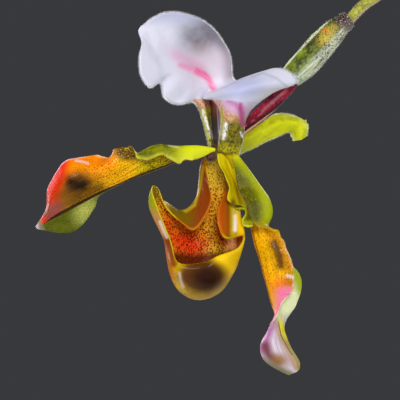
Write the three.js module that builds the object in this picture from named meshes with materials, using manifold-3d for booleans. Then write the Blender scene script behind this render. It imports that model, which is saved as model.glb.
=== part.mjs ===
// Potted slipper orchid, Paphiopedilum lathamianum, in one flower.
// Millimetres, +Z up. The origin is the centre of the pot's base, on the surface it stands on.
import * as THREE from "three";
import { mergeVertices } from "three/addons/utils/BufferGeometryUtils.js";
import Module from "manifold-3d";

const wasm = await Module();
wasm.setup();

// Driving dimensions
const POT_HEIGHT = 105;
const POT_TOP_RADIUS = 60;
const POT_BASE_RADIUS = 42;
const POT_WALL = 4.5;
const POT_FLOOR = 6;
const POT_RIM_HEIGHT = 18;
const POT_RIM_STEP = 3;
const DRAIN_HOLES = 4;
const DRAIN_RADIUS = 5;
const DRAIN_CIRCLE = 24;
const MIX_TOP = 90;
const CHIP_COUNT = 34;
const CHIP_LENGTH = 18;
const CHIP_TURN = 2.4;
const CHIP_TILT = 0.9;
const HOLE_DEPTH = 9;
const HOLE_HALF_LENGTH = 18;
const HOLE_HALF_WIDTH = 10.5;
const POT_EDGE = 1.5;
const STEM_ARCH_RADIUS = 45;
const STEM_BOW = 9;
const STEM_TOP_RADIUS = 1.6;
const STEM_FOOT_RADIUS = 2.4;
const OVARY_RADIUS = 2.1;
const OVARY_RIBS = 6;
const OVARY_RIB_HEIGHT = 0.1;
const LEAF_THICKNESS = 1.2;
const LEAF_WIDTH = 36;
const LEAF_FOOT_WIDTH = 13;
const LEAF_FIRST_OFFSET = 4.6;
const LEAF_OFFSET_STEP = 3.4;
const FAN_TURN = 0.42;
const SEPAL_THICKNESS = 0.7;
const PETAL_THICKNESS = 0.8;
const POUCH_THICKNESS = 0.8;
const BRACT_THICKNESS = 0.7;
const CLEARANCE = 0.3;

// The flower is drawn on an upright square grid of 400 steps, x to the right and y down,
// with its middle step at the place below. A third number is the depth behind the grid, in mm.
const GRID_STEP = 0.3;
const GRID_MIDDLE = 200;
const GRID_X = -128;
const GRID_Z = 330;
const EYE_DISTANCE = 600;

// A drawn point in the part's frame: what lies deeper is drawn smaller, as the eye sees it.
function placed([x, y, depth]) {
  const spread = GRID_STEP * (1 + depth / EYE_DISTANCE);
  return new THREE.Vector3(
    GRID_X + (x - GRID_MIDDLE) * spread,
    depth,
    GRID_Z + (GRID_MIDDLE - y) * spread,
  );
}

// Smooth curve through evenly numbered points, at t from 0 to 1
function through(points, t, closed = false) {
  const spans = closed ? points.length : points.length - 1;
  const s = Math.min(Math.max(t, 0), 1) * spans;
  const i = Math.min(Math.floor(s), spans - 1);
  const f = s - i;
  const pick = (k) =>
    closed
      ? points[(k + points.length) % points.length]
      : points[Math.min(Math.max(k, 0), points.length - 1)];
  const [a, b, c, d] = [pick(i - 1), pick(i), pick(i + 1), pick(i + 2)];
  const weights = [
    0.5 * (-f + 2 * f * f - f * f * f),
    0.5 * (2 - 5 * f * f + 3 * f * f * f),
    0.5 * (f + 4 * f * f - 3 * f * f * f),
    0.5 * (-f * f + f * f * f),
  ];
  return new THREE.Vector3()
    .addScaledVector(a, weights[0])
    .addScaledVector(b, weights[1])
    .addScaledVector(c, weights[2])
    .addScaledVector(d, weights[3]);
}

// The same through plain numbers
function numberThrough(numbers, t) {
  return through(
    numbers.map((n) => new THREE.Vector3(n, 0, 0)),
    t,
  ).x;
}

// Surface through drawn lines, which all have the same number of points from base to tip
function lofted(lines) {
  const curves = lines.map((line) => line.map(placed));
  return (u, v) =>
    through(
      curves.map((curve) => through(curve, u)),
      v,
    );
}

// The same surface with waves: ruffle(u, v) is how far it stands out along its normal
function ruffled(surface, ruffle) {
  const step = 1e-3;
  return (u, v) => {
    const alongU = surface(u + step, v).sub(surface(u - step, v));
    const alongV = surface(u, Math.min(v + step, 1)).sub(surface(u, Math.max(v - step, 0)));
    return surface(u, v).addScaledVector(alongU.cross(alongV).normalize(), ruffle(u, v));
  };
}

// Closed mesh from shared vertices, turned to face out
function closedMesh(vertices, triangles) {
  let volume = 0;
  for (const [a, b, c] of triangles) {
    volume += vertices[a].dot(vertices[b].clone().cross(vertices[c]));
  }
  const flip = volume < 0;
  const index = triangles.flatMap(([a, b, c]) => (flip ? [a, c, b] : [a, b, c]));
  const geometry = new THREE.BufferGeometry();
  geometry.setAttribute(
    "position",
    new THREE.Float32BufferAttribute(
      vertices.flatMap((p) => [p.x, p.y, p.z]),
      3,
    ),
  );
  geometry.setIndex(index);
  return geometry;
}

// Blade of even thickness over a surface, with the same triangles on both faces.
// An around surface closes on itself across v, and a poled one starts from one point.
function blade(surface, uSteps, vSteps, thickness, { around = false, poled = false } = {}) {
  const step = 1e-3;
  const wrap = (v) => (around ? v - Math.floor(v) : Math.min(Math.max(v, 0), 1));
  const columns = around ? vSteps : vSteps + 1;
  const firstRow = poled ? 1 : 0;
  const normalAt = (u, v) => {
    const u0 = Math.max(u - step, 0);
    const u1 = Math.min(u + step, 1);
    const alongU = surface(u1, wrap(v)).sub(surface(u0, wrap(v)));
    const alongV = around
      ? surface(u, wrap(v + step)).sub(surface(u, wrap(v - step)))
      : surface(u, Math.min(v + step, 1)).sub(surface(u, Math.max(v - step, 0)));
    return alongU.cross(alongV).normalize();
  };
  const vertices = [];
  const half = thickness / 2;
  for (const side of [1, -1]) {
    for (let i = firstRow; i <= uSteps; i++) {
      for (let j = 0; j < columns; j++) {
        const u = i / uSteps;
        const v = j / vSteps;
        vertices.push(surface(u, wrap(v)).addScaledVector(normalAt(u, v), side * half));
      }
    }
  }
  const rows = uSteps + 1 - firstRow;
  const count = rows * columns;
  const at = (side, i, j) => side * count + i * columns + (j % columns);
  const triangles = [];
  const quad = (a, b, c, d) => triangles.push([a, b, c], [a, c, d]);
  const spans = around ? columns : columns - 1;
  for (let i = 0; i < rows - 1; i++) {
    for (let j = 0; j < spans; j++) {
      if ((i + j) % 2) {
        quad(at(0, i, j), at(0, i + 1, j), at(0, i + 1, j + 1), at(0, i, j + 1));
        quad(at(1, i, j), at(1, i, j + 1), at(1, i + 1, j + 1), at(1, i + 1, j));
      } else {
        quad(at(0, i + 1, j), at(0, i + 1, j + 1), at(0, i, j + 1), at(0, i, j));
        quad(at(1, i + 1, j), at(1, i, j), at(1, i, j + 1), at(1, i + 1, j + 1));
      }
    }
  }
  for (let j = 0; j < spans; j++) {
    quad(at(0, rows - 1, j), at(1, rows - 1, j), at(1, rows - 1, j + 1), at(0, rows - 1, j + 1));
    if (!poled) quad(at(0, 0, j), at(0, 0, j + 1), at(1, 0, j + 1), at(1, 0, j));
  }
  if (!around) {
    for (let i = 0; i < rows - 1; i++) {
      quad(at(0, i, 0), at(1, i, 0), at(1, i + 1, 0), at(0, i + 1, 0));
      const last = columns - 1;
      quad(at(0, i, last), at(0, i + 1, last), at(1, i + 1, last), at(1, i, last));
    }
  }
  if (poled) {
    const pole = surface(0, 0);
    const ringMiddle = new THREE.Vector3();
    for (let j = 0; j < columns; j++) ringMiddle.add(surface(1 / uSteps, j / vSteps));
    const out = pole.clone().sub(ringMiddle.divideScalar(columns)).normalize();
    const outwards = vertices[0].clone().sub(vertices[count]).dot(out) > 0 ? 1 : -1;
    vertices.push(pole.clone().addScaledVector(out, outwards * half));
    vertices.push(pole.clone().addScaledVector(out, -outwards * half));
    for (let j = 0; j < spans; j++) {
      triangles.push([2 * count, at(0, 0, j), at(0, 0, j + 1)]);
      triangles.push([2 * count + 1, at(1, 0, j + 1), at(1, 0, j)]);
    }
  }
  return closedMesh(vertices, triangles);
}

// Solid rod along a curve; radius(t, angle) gives its section
function rod(path, steps, sides, radius) {
  const vertices = [];
  const side = new THREE.Vector3(0, 1, 0);
  for (let i = 0; i <= steps; i++) {
    const t = i / steps;
    const tangent = path(Math.min(t + 1e-3, 1)).sub(path(Math.max(t - 1e-3, 0)));
    tangent.normalize();
    const across = side.clone().addScaledVector(tangent, -side.dot(tangent)).normalize();
    const up = tangent.clone().cross(across);
    for (let j = 0; j < sides; j++) {
      const angle = (j / sides) * 2 * Math.PI;
      const r = radius(t, angle);
      vertices.push(
        path(t)
          .addScaledVector(across, r * Math.cos(angle))
          .addScaledVector(up, r * Math.sin(angle)),
      );
    }
  }
  vertices.push(path(0), path(1));
  const triangles = [];
  for (let j = 0; j < sides; j++) {
    const k = (j + 1) % sides;
    for (let i = 0; i < steps; i++) {
      const [a, b] = [i * sides, (i + 1) * sides];
      triangles.push([a + j, b + j, b + k], [a + j, b + k, a + k]);
    }
    const last = steps * sides;
    triangles.push([vertices.length - 2, j, k], [vertices.length - 1, last + k, last + j]);
  }
  return closedMesh(vertices, triangles);
}

// Booleans between closed geometries
function solid(geometry) {
  const bare = geometry.clone();
  bare.deleteAttribute("normal");
  bare.deleteAttribute("uv");
  const merged = mergeVertices(bare, 1e-4);
  return new wasm.Manifold(
    new wasm.Mesh({
      numProp: 3,
      vertProperties: merged.attributes.position.array,
      triVerts: new Uint32Array(merged.index.array),
    }),
  );
}

// Geometry of a solid's largest body
function geometryOf(made) {
  const [largest] = made.decompose().sort((a, b) => b.volume() - a.volume());
  const mesh = largest.getMesh();
  const positions = new Float32Array(mesh.numVert * 3);
  for (let i = 0; i < mesh.numVert; i++) {
    positions.set(mesh.vertProperties.subarray(i * mesh.numProp, i * mesh.numProp + 3), i * 3);
  }
  const geometry = new THREE.BufferGeometry();
  geometry.setAttribute("position", new THREE.BufferAttribute(positions, 3));
  geometry.setIndex(new THREE.BufferAttribute(mesh.triVerts, 1));
  return geometry;
}

// A piece without the space that its neighbours need
function clearOf(geometry, neighbours) {
  return geometryOf(neighbours.reduce((left, n) => left.subtract(solid(n)), solid(geometry)));
}

// Dorsal sepal: lines from the base, through the waist, to the tip of the hood
const DORSAL = {
  leftMargin: [
    [208, 148, 1], [205, 135, 1], [201, 120, 1.5], [197, 108, 2.5], [192.5, 102, 2],
    [184, 103, 0], [174, 103, -2], [164, 96, -5], [161, 82, -4.5], [150, 87, -9],
    [141, 75, -11], [139, 57, -10.5], [138.6, 40, -9],
  ],
  leftHalf: [
    [210, 148, 2.2], [208, 135, 4], [206, 120, 5.5], [202, 106, 6], [198, 97, 5],
    [193, 91, 3], [188, 87, 1.5], [183, 80, -0.5], [175, 73, -2.5], [164, 70, -5],
    [153, 63, -7.5], [147, 52, -8.5], [138.9, 38.5, -9],
  ],
  midvein: [
    [214, 148, 3], [213, 135, 5], [212, 121, 6.5], [212, 109, 7.5], [211, 99, 7.5],
    [210.5, 94, 7], [209.5, 88.5, 6], [205, 81.5, 5.2], [199.5, 75, 4.3], [189.5, 68, 2.1],
    [175, 61, -1.5], [155, 48, -6], [139.3, 37, -9],
  ],
  frontFold: [
    [217, 148, -0.5], [219, 135, -1.5], [221, 122, -2.5], [219, 110, -3], [212, 99.5, -2.5],
    [205, 97.5, -2.4], [206, 94, -0.6], [215, 89.5, 3.2], [215, 77, 5.4], [200, 63, 2.5],
    [182, 51, -1.5], [159, 40, -6], [139.8, 35.5, -9],
  ],
  rightQuarter: [
    [224, 149, -2], [227, 135, -3.5], [230, 121, -5], [231, 109, -6], [231, 99, -7],
    [227, 92, -7], [221.5, 88.5, -4.5], [224, 88, 2.4], [221, 76.5, 5.4], [208, 55, 3],
    [189, 41, -1.5], [163, 31, -6.3], [140.5, 34, -9],
  ],
  rightHalf: [
    [232, 150, -1], [236, 136, -2], [238, 122, -3.5], [242, 109, -5], [252, 95, -6],
    [260, 84, -6.5], [247, 77, -3.5], [232, 86, 3], [226, 76, 5.8], [217, 46, 3],
    [195, 30, -2.5], [166, 22, -6.8], [141.5, 32.6, -9],
  ],
  rightMargin: [
    [239, 152, 1.5], [243, 138, 1.5], [244, 123, 1], [252, 108, 0], [275, 91, 0],
    [297, 82, 1], [278, 68, 1], [244, 81.5, 4.4], [232, 78, 6.2], [229, 52, 3.5],
    [205, 22, -3], [168, 12.5, -7.5], [143, 31.4, -9],
  ],
};

// Left petal: its front half is rolled over towards the eye near the base
const LEFT_PETAL = {
  frontMargin: [
    [212, 156, -1], [196, 160, -4], [179, 164, -5], [164, 158, -7], [149, 151, -6.8],
    [134, 150, -5], [116, 151, -3], [95, 156, -0.5], [75, 158, 0.5], [59, 168, 1],
    [49, 186, 1], [46, 205, 0.5], [38.5, 222.5, 0],
  ],
  frontHalf: [
    [213, 147, -1.5], [195, 146, -3], [179, 145, -3.5], [163, 146, -3.5], [148, 155, -2.5],
    [133, 161, -2.8], [116, 166, -4], [97, 172, -4], [79, 177, -4], [64, 186, -3],
    [53, 198, -2], [47, 212, -1], [36, 226, -0.3],
  ],
  midvein: [
    [214, 151, 2], [196, 153, 2.5], [179, 159, 2.5], [164, 166, 2], [149, 171, 1],
    [133, 177, 0], [116, 185, 0], [98, 193, 0], [81, 202, 0], [66, 210, 0],
    [54, 216.5, 0], [46, 221, 0], [35.5, 229.5, -0.3],
  ],
  backHalf: [
    [214, 153, 4], [196, 155, 6], [179, 159, 6.5], [164, 162, 6], [149, 166, 5],
    [133, 172, 4.5], [116, 181, 4], [99, 194, 3], [84, 209, 2], [70, 220, 1],
    [58, 225, 1], [48, 226.5, 0.5], [38, 231.5, 0],
  ],
  backMargin: [
    [214, 155, 5.5], [196, 157, 8.5], [179, 158, 9.5], [164, 158, 9.5], [149, 161, 8.5],
    [133, 168, 8], [116, 179, 7], [100, 195, 5.5], [89, 218, 3], [73, 231, 2],
    [59, 234, 1.5], [50, 233, 1], [41.5, 232.5, 0.3],
  ],
};

// Right petal: rolled forward near the base, then twisted half round above the spoon end
const RIGHT_PETAL = {
  frontMargin: [
    [232, 158, -1.5], [235, 170, -3.5], [239, 186, -5], [244, 202, -6], [253, 218, -7],
    [268, 229, -6.5], [284, 243, -3], [290, 258, -2], [298, 274, -1], [291, 291, -2],
    [281, 305, -3.5], [272, 320, -4], [266, 333, -2], [261, 347, -1.5], [266, 362, -2],
    [288, 374.5, -2.5],
  ],
  frontHalf: [
    [237, 155, -1], [247, 168, -1.5], [260, 186, -2], [269, 200, -2.5], [272, 214, -2.5],
    [262, 229, -2], [270, 243, -3], [275, 258, -3], [281, 273, -3], [281, 290, -3],
    [277, 304, -2.5], [274.5, 319, -2.6], [270, 332, -3.8], [268, 345, -4.5], [274, 361, -4.5],
    [290.5, 374, -3],
  ],
  midvein: [
    [227, 153, 1], [231, 166, 2], [238, 184, 2.5], [243, 200, 3], [247, 213, 3],
    [251, 227, 1], [256, 244, 0], [260, 258, 0], [263, 272, 0], [268, 289, 0],
    [272, 303, 0], [278, 318, -1], [275.5, 331, -3.8], [276, 345, -5], [283, 360, -5],
    [293, 373.5, -3],
  ],
  backHalf: [
    [222, 153, 0], [225, 167, 1], [232, 184, 1.5], [237, 201, 2], [242, 214, 3.3],
    [248, 227, 4.5], [258, 243, 3], [265, 258, 3], [273, 273, 3], [282, 290, 3],
    [281, 305, 2.5], [282.5, 318, 0.8], [281, 331, -1.8], [284, 345, -3], [291, 360, -3.5],
    [296.5, 373, -3],
  ],
  backMargin: [
    [217, 154, -1], [219, 169, -1], [226, 186, -1], [230, 202, -0.5], [236, 215, 2.5],
    [247, 228, 7.5], [262, 243, 6], [271, 258, 6], [285, 273, 5], [302, 288, 4],
    [295, 306, 4], [288, 318, 3], [285.5, 331, 1], [290, 345, 0.5], [299, 361, 0],
    [300, 371.5, -2],
  ],
};

// Synsepal: arched back below the ovary, its end curled down
const SYNSEPAL = {
  upperMargin: [
    [246, 133, 5], [264, 122, 8], [275, 115, 10], [287, 115, 11], [297, 118, 11],
    [304, 122, 10], [308, 127, 9],
  ],
  middle: [
    [241, 143, 2], [258, 134, 5], [273, 126, 7], [286, 122, 8], [296, 125, 8],
    [300, 131, 7], [300, 137, 7],
  ],
  lowerMargin: [
    [236, 155, 4], [252, 148, 7], [268, 140, 9], [284, 133, 10.5], [291, 133, 10.5],
    [292, 137, 10], [296, 141, 9.5],
  ],
};

// Pouch: lines from the toe up the outside of the wall, over its fold, to the free edge.
// They go round from the front rim by the left ear, the left lobe and the claw to the right ear.
const TOE = [199, 299, 0];
const POUCH = {
  front: [[203, 295, -7], [205, 282, -12.5], [204, 271, -14], [204, 266, -13.8], [203, 263, -13]],
  frontLeft: [[190, 294, -5], [182, 283, -9], [177, 272, -11], [176, 266, -11], [178, 263, -10.5]],
  left: [[184, 291, -1.5], [173, 277, -4], [168, 258, -6], [169, 250, -7], [172, 244, -7.5]],
  leftSide: [[182, 290, 0.5], [170, 271, -1], [165, 245, -3], [162, 234, -4.5], [164, 224, -6]],
  leftEar: [[181, 289, 2.5], [171, 266, 2], [161, 233, 0], [150, 208, -3.5], [151.5, 190, -5]],
  leftEarTip: [[182, 288, 4.5], [172, 264, 3.5], [163, 231, 2], [155, 205, -1], [156.5, 187.5, -3]],
  leftEarBack: [[184, 287, 6], [174, 262, 5], [168, 232, 4], [163.5, 203, 0.5], [166, 208, -2.5]],
  leftLobe: [[187, 286, 7.5], [181, 257, 8], [179, 230, 6.5], [179, 211, 1], [184, 225, -2.5]],
  leftLobeTip: [[190, 285, 8.5], [188, 254, 9.5], [188, 228, 8.5], [190, 207, 2.5], [196, 230, -1.5]],
  leftLobeBack: [[193.5, 284, 9.3], [194, 251, 10.5], [195, 224, 10], [198, 195, 4], [211, 206, 1]],
  leftClawFold: [[197, 283, 9.8], [199, 249, 11], [201, 220, 10.5], [199.5, 181, 5], [209, 186, 4]],
  leftClawEdge: [[200.5, 283, 10], [203, 248, 11.5], [206, 218, 11], [203, 172, 7], [205, 157, 3.5]],
  clawMiddle: [[204, 283, 10], [208, 247, 11.5], [212, 216, 11], [213, 182, 9], [211, 156, 4.5]],
  rightClawEdge: [[207.5, 283, 10], [212, 248, 11.5], [216, 218, 11], [220, 178, 7.8], [216, 157, 4.5]],
  rightClawSide: [[209, 283.5, 9.8], [214, 248.5, 11.3], [220, 219.5, 11], [228, 190, 8.3], [225, 178, 6.5]],
  rightLobeTip: [[211, 284, 9.5], [216, 249, 11], [223, 221, 10.5], [232, 191, 6], [223, 196, 4]],
  rightLobeBack: [[214.5, 285, 8.5], [222, 252, 10], [230, 226, 9], [238, 205, 4.5], [217, 212, 0.5]],
  rightLobe: [[218, 287, 6.5], [229, 256, 8], [236, 234, 6.5], [240, 219, 1.5], [219, 229, -1.5]],
  rightEarBack: [[221, 288, 4.5], [234, 261, 4.5], [240, 243, 2], [243, 230, -2], [226, 239, -4]],
  rightEar: [[222.5, 290, 1.5], [236, 266, 0], [242, 251, -3], [245, 240, -6], [244, 235, -7.5]],
  right: [[219, 292, -2.5], [231, 275, -6], [238, 261, -8.5], [239, 254, -9.5], [238, 248, -10]],
  frontRight: [[212, 294, -5.5], [220, 280, -10.5], [222, 266, -12.5], [220, 258, -13], [218, 256, -12]],
};

// Ovary, bract and stem lie on one line that leaves the flower to the upper right
const OVARY_LINE = [
  [240, 131, 5], [252, 121, 6], [268, 107, 7.5], [284, 90, 9], [296, 76, 10],
  [310, 60, 10.5], [324, 44, 11], [336, 31, 11],
];
const BRACT_LINE = [
  [290, 78, 9.8], [298, 70, 10], [306, 62, 10.2], [315, 52, 10.6], [324, 42, 11],
  [332, 33, 11], [341, 25, 11], [349, 19, 11],
];
const BRACT_HALF_WIDTHS = [3.3, 3.8, 4.1, 4.1, 4.0, 3.6, 2.9, 2.3];
const BRACT_HALF_DEPTHS = [2.95, 3.1, 3.3, 3.3, 3.2, 3.0, 2.6, 2.3];
const BRACT_OPENING = 0.5;
const STEM_TIP_LINE = [[337.5, 29.8, 11], [350.5, 18.5, 11], [371, 0, 11]];

function ovaryPath(t) {
  return through(OVARY_LINE.map(placed), t);
}

// The stem's route: the drawn tip, an arch, and a straight fall into the pot
function stemPoints() {
  const tip = STEM_TIP_LINE.map(placed);
  const entry = tip[tip.length - 1];
  const heading = Math.atan2(entry.z - tip[1].z, entry.x - tip[1].x);
  const centreX = entry.x + STEM_ARCH_RADIUS * Math.sin(heading);
  const centreZ = entry.z - STEM_ARCH_RADIUS * Math.cos(heading);
  const arch = [];
  const archSteps = 5;
  for (let k = 1; k <= archSteps; k++) {
    const turned = heading - ((heading + Math.PI / 2) * k) / archSteps;
    arch.push(
      new THREE.Vector3(
        centreX - STEM_ARCH_RADIUS * Math.sin(turned),
        entry.y * (1 - (0.6 * k) / archSteps),
        centreZ + STEM_ARCH_RADIUS * Math.cos(turned),
      ),
    );
  }
  const foot = MIX_TOP - HOLE_DEPTH + CLEARANCE;
  const shoulder = arch[arch.length - 1];
  const fall = [0.25, 0.5, 0.75, 1].map((k) => {
    const bow = STEM_BOW * Math.sin(Math.PI * k) * (1 - 0.4 * k);
    return new THREE.Vector3(
      shoulder.x * (1 - k) + bow,
      shoulder.y * (1 - k),
      shoulder.z + (foot - shoulder.z) * k,
    );
  });
  return [...tip, ...arch, ...fall];
}

// Sheath around the ovary's upper end, open along its lower side
function bractSurface(u, v) {
  const centre = through(BRACT_LINE.map(placed), u);
  const ahead = through(BRACT_LINE.map(placed), Math.min(u + 1e-3, 1));
  const behind = through(BRACT_LINE.map(placed), Math.max(u - 1e-3, 0));
  const tangent = ahead.sub(behind).normalize();
  const depthways = new THREE.Vector3(0, 1, 0);
  const across = tangent.clone().cross(depthways).normalize();
  const angle = BRACT_OPENING / 2 + v * (2 * Math.PI - BRACT_OPENING);
  return centre
    .addScaledVector(across, numberThrough(BRACT_HALF_WIDTHS, u) * Math.cos(angle))
    .addScaledVector(depthways, -numberThrough(BRACT_HALF_DEPTHS, u) * Math.sin(angle));
}

// Column: a short thick stub from the ovary to the knob of the staminode in front
const COLUMN_LINE = [
  [238, 132, 5.5], [231, 139, 4.5], [223, 146, 3.2], [214, 152, 1], [209.5, 159, -2.5],
];
const COLUMN_RADII = [1.4, 1.6, 1.5, 1.9, 1.2];

// Strap leaf of the fan: side is 1 or -1, rank 0 is the innermost
const LEAVES = [
  { side: 1, rank: 0, length: 170, lift: 1.42, droop: 0.9 },
  { side: -1, rank: 0, length: 150, lift: 1.45, droop: 0.7 },
  { side: 1, rank: 1, length: 215, lift: 1.25, droop: 1.35 },
  { side: -1, rank: 1, length: 205, lift: 1.2, droop: 1.3 },
  { side: 1, rank: 2, length: 200, lift: 1.0, droop: 1.55 },
  { side: -1, rank: 2, length: 210, lift: 1.0, droop: 1.5 },
];
function leafSurface({ side, rank, length, lift, droop }) {
  const steps = 48;
  const foot = MIX_TOP - HOLE_DEPTH + CLEARANCE + 0.4;
  const midrib = [new THREE.Vector3(side * (LEAF_FIRST_OFFSET + rank * LEAF_OFFSET_STEP), 0, foot)];
  const headings = [];
  for (let i = 0; i <= steps; i++) {
    const t = i / steps;
    const upright = Math.max(0, 1 - t / 0.14);
    const angle = lift + (Math.PI / 2 - lift) * upright - droop * Math.max(0, t - 0.1) ** 1.3;
    headings.push(angle);
    const last = midrib[midrib.length - 1];
    midrib.push(
      new THREE.Vector3(
        last.x + (side * Math.cos(angle) * length) / steps,
        0,
        last.z + (Math.sin(angle) * length) / steps,
      ),
    );
  }
  return (u, v) => {
    const s = u * steps;
    const i = Math.min(Math.floor(s), steps - 1);
    const centre = midrib[i].clone().lerp(midrib[i + 1], s - i);
    const angle = headings[i] + (headings[Math.min(i + 1, steps)] - headings[i]) * (s - i);
    const swell = Math.min(1, 0.2 + u * 3.2);
    const taper = Math.sqrt(Math.max(0.004, 1 - ((u - 0.4) / 0.605) ** 2));
    const tipward = u > 0.4 ? taper : 1;
    const half = (LEAF_FOOT_WIDTH + (LEAF_WIDTH - LEAF_FOOT_WIDTH) * swell * Math.min(u * 4, 1)) / 2;
    const w = 2 * v - 1;
    const fold = 0.42 - 0.22 * Math.min(u * 1.6, 1);
    const inward = new THREE.Vector3(-side * Math.sin(angle), 0, Math.cos(angle));
    const keel = half * tipward * fold * (Math.sqrt(w * w + 0.02) - 0.14);
    const ripple = 0.8 * Math.sin(u * 13 + rank * 2 + side) * w * Math.min(u * 2, 1) * tipward;
    return centre
      .add(new THREE.Vector3(0, half * tipward * w, 0))
      .addScaledVector(inward, keel + ripple);
  };
}

// Radius of the pot's outer wall below its rim
function wallRadius(z) {
  return POT_BASE_RADIUS + ((POT_TOP_RADIUS - POT_RIM_STEP - POT_BASE_RADIUS) * z) / POT_HEIGHT;
}

// Pot: one thick-walled cup with a stepped rim and drain holes round its solid middle
function potGeometry() {
  const rimFoot = POT_HEIGHT - POT_RIM_HEIGHT;
  const profile = [
    [0, 0],
    [POT_BASE_RADIUS - POT_EDGE, 0],
    [wallRadius(POT_EDGE), POT_EDGE],
    [wallRadius(rimFoot), rimFoot],
    [wallRadius(rimFoot) + POT_RIM_STEP, rimFoot + POT_EDGE],
    [POT_TOP_RADIUS, POT_HEIGHT - POT_EDGE],
    [POT_TOP_RADIUS - POT_EDGE, POT_HEIGHT],
    [wallRadius(POT_HEIGHT) - POT_WALL + POT_EDGE, POT_HEIGHT],
    [wallRadius(POT_HEIGHT) - POT_WALL, POT_HEIGHT - POT_EDGE],
    [wallRadius(POT_FLOOR) - POT_WALL, POT_FLOOR],
    [0, POT_FLOOR],
  ];
  const cup = new THREE.LatheGeometry(
    profile.map(([r, z]) => new THREE.Vector2(r, z)),
    32,
  );
  cup.rotateX(Math.PI / 2);
  let made = solid(cup);
  if (made.volume() < 0) throw new Error("pot profile runs the wrong way");
  for (let k = 0; k < DRAIN_HOLES; k++) {
    const drill = new THREE.CylinderGeometry(DRAIN_RADIUS, DRAIN_RADIUS, 3 * POT_FLOOR, 16);
    drill.rotateX(Math.PI / 2);
    const angle = ((k + 0.5) / DRAIN_HOLES) * 2 * Math.PI;
    drill.translate(DRAIN_CIRCLE * Math.cos(angle), DRAIN_CIRCLE * Math.sin(angle), POT_FLOOR / 2);
    made = made.subtract(solid(drill));
  }
  return geometryOf(made);
}

// Repeatable numbers from 0 to 1
function seeded(seed) {
  let state = seed;
  return () => {
    state = (state * 1664525 + 1013904223) % 4294967296;
    return state / 4294967296;
  };
}

// Potting mix: a plug that fills the pot, with bark chips half sunk in its top
function mixGeometry() {
  const inner = (z) => wallRadius(z) - POT_WALL - CLEARANCE;
  const floor = POT_FLOOR + CLEARANCE;
  const plug = new THREE.LatheGeometry(
    [
      new THREE.Vector2(0, floor),
      new THREE.Vector2(inner(floor), floor),
      new THREE.Vector2(inner(MIX_TOP - 2), MIX_TOP - 2),
      new THREE.Vector2(inner(MIX_TOP) * 0.5, MIX_TOP),
      new THREE.Vector2(0, MIX_TOP),
    ],
    32,
  );
  plug.rotateX(Math.PI / 2);
  let made = solid(plug);
  const random = seeded(7);
  const reach = inner(MIX_TOP) - CHIP_LENGTH * 0.62;
  for (let k = 0; k < CHIP_COUNT; k++) {
    const ring = Math.sqrt((k + 0.5) / CHIP_COUNT) * reach;
    const angle = k * CHIP_TURN;
    const size = CHIP_LENGTH * (0.6 + 0.4 * random());
    const chip = new THREE.CylinderGeometry(0.42, 0.5, 1, 5, 1);
    chip.scale(size * (0.42 + 0.2 * random()), size, size * (0.55 + 0.3 * random()));
    chip.rotateX((random() - 0.5) * CHIP_TILT);
    chip.rotateY((random() - 0.5) * CHIP_TILT);
    chip.rotateZ(random() * Math.PI);
    chip.translate(ring * Math.cos(angle), ring * Math.sin(angle), MIX_TOP - 0.4 + random() * 2);
    made = made.add(solid(chip));
  }
  const hole = new THREE.CylinderGeometry(1, 1, 4 * HOLE_DEPTH, 24);
  hole.rotateX(Math.PI / 2);
  hole.scale(HOLE_HALF_LENGTH, HOLE_HALF_WIDTH, 1);
  hole.rotateZ(FAN_TURN);
  hole.translate(0, 0, MIX_TOP + HOLE_DEPTH);
  return geometryOf(made.subtract(solid(hole)));
}

const plant = new THREE.Group();

function addPiece(name, geometry, colour, roughness) {
  const material = new THREE.MeshStandardMaterial({ color: colour, roughness, metalness: 0 });
  const mesh = new THREE.Mesh(geometry, material);
  mesh.name = name;
  mesh.geometry.computeVertexNormals();
  plant.add(mesh);
  return mesh;
}

addPiece("pot", potGeometry(), "#b5683f", 0.85);
addPiece("potting_mix", mixGeometry(), "#5d3d27", 0.95);

LEAVES.forEach((leaf, k) => {
  const geometry = blade(leafSurface(leaf), 14, 4, LEAF_THICKNESS);
  geometry.rotateZ(FAN_TURN);
  addPiece(`leaf_${k + 1}`, geometry, "#4f7a34", 0.5);
});

const stemRoute = stemPoints();
const stemRod = (gap) =>
  rod(
    (t) => through(stemRoute, t),
    36,
    8,
    (t) => STEM_TOP_RADIUS + (STEM_FOOT_RADIUS - STEM_TOP_RADIUS) * t + gap,
  );
addPiece("flower_stem", stemRod(0), "#8a9440", 0.6);

// Ovary: swollen a little in its middle, with ribs along it
const ovaryRadius = (t, angle) => {
  const swell = 0.82 + 0.25 * Math.sin(Math.PI * Math.min(1, t * 1.1));
  return OVARY_RADIUS * swell * (1 + OVARY_RIB_HEIGHT * Math.cos(OVARY_RIBS * angle));
};
const ovaryRod = (gap) => rod(ovaryPath, 10, 12, (t, angle) => ovaryRadius(t, angle) + gap);
addPiece("ovary", ovaryRod(0), "#7c1533", 0.7);
const roundOvary = ovaryRod(CLEARANCE);
const bract = blade(bractSurface, 10, 12, BRACT_THICKNESS);
addPiece("bract", clearOf(bract, [roundOvary, stemRod(CLEARANCE)]), "#8ea03c", 0.55);

const columnRod = (gap) =>
  rod(
    (t) => through(COLUMN_LINE.map(placed), t),
    6,
    8,
    (t) => numberThrough(COLUMN_RADII, t) + gap,
  );
addPiece("column", columnRod(0), "#4a1626", 0.6);

// Frills: waves that die out from a free edge inwards, and towards both ends of the blade
const FRILL_HEIGHT = 0.9;
const FRILL_REACH = 0.35;
const FRILL_WAVES = 6;
function frill(u, v) {
  const fromEdge = Math.max(0, 1 - Math.min(v, 1 - v) / FRILL_REACH);
  const fromEnds = Math.min(1, 8 * u, 4 * (1 - u)) * (u < 0.62 ? 1 : 0.4);
  const phase = v < 0.5 ? 0 : 1.7;
  return FRILL_HEIGHT * fromEdge ** 2 * fromEnds * Math.sin(2 * Math.PI * FRILL_WAVES * u + phase);
}

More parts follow.
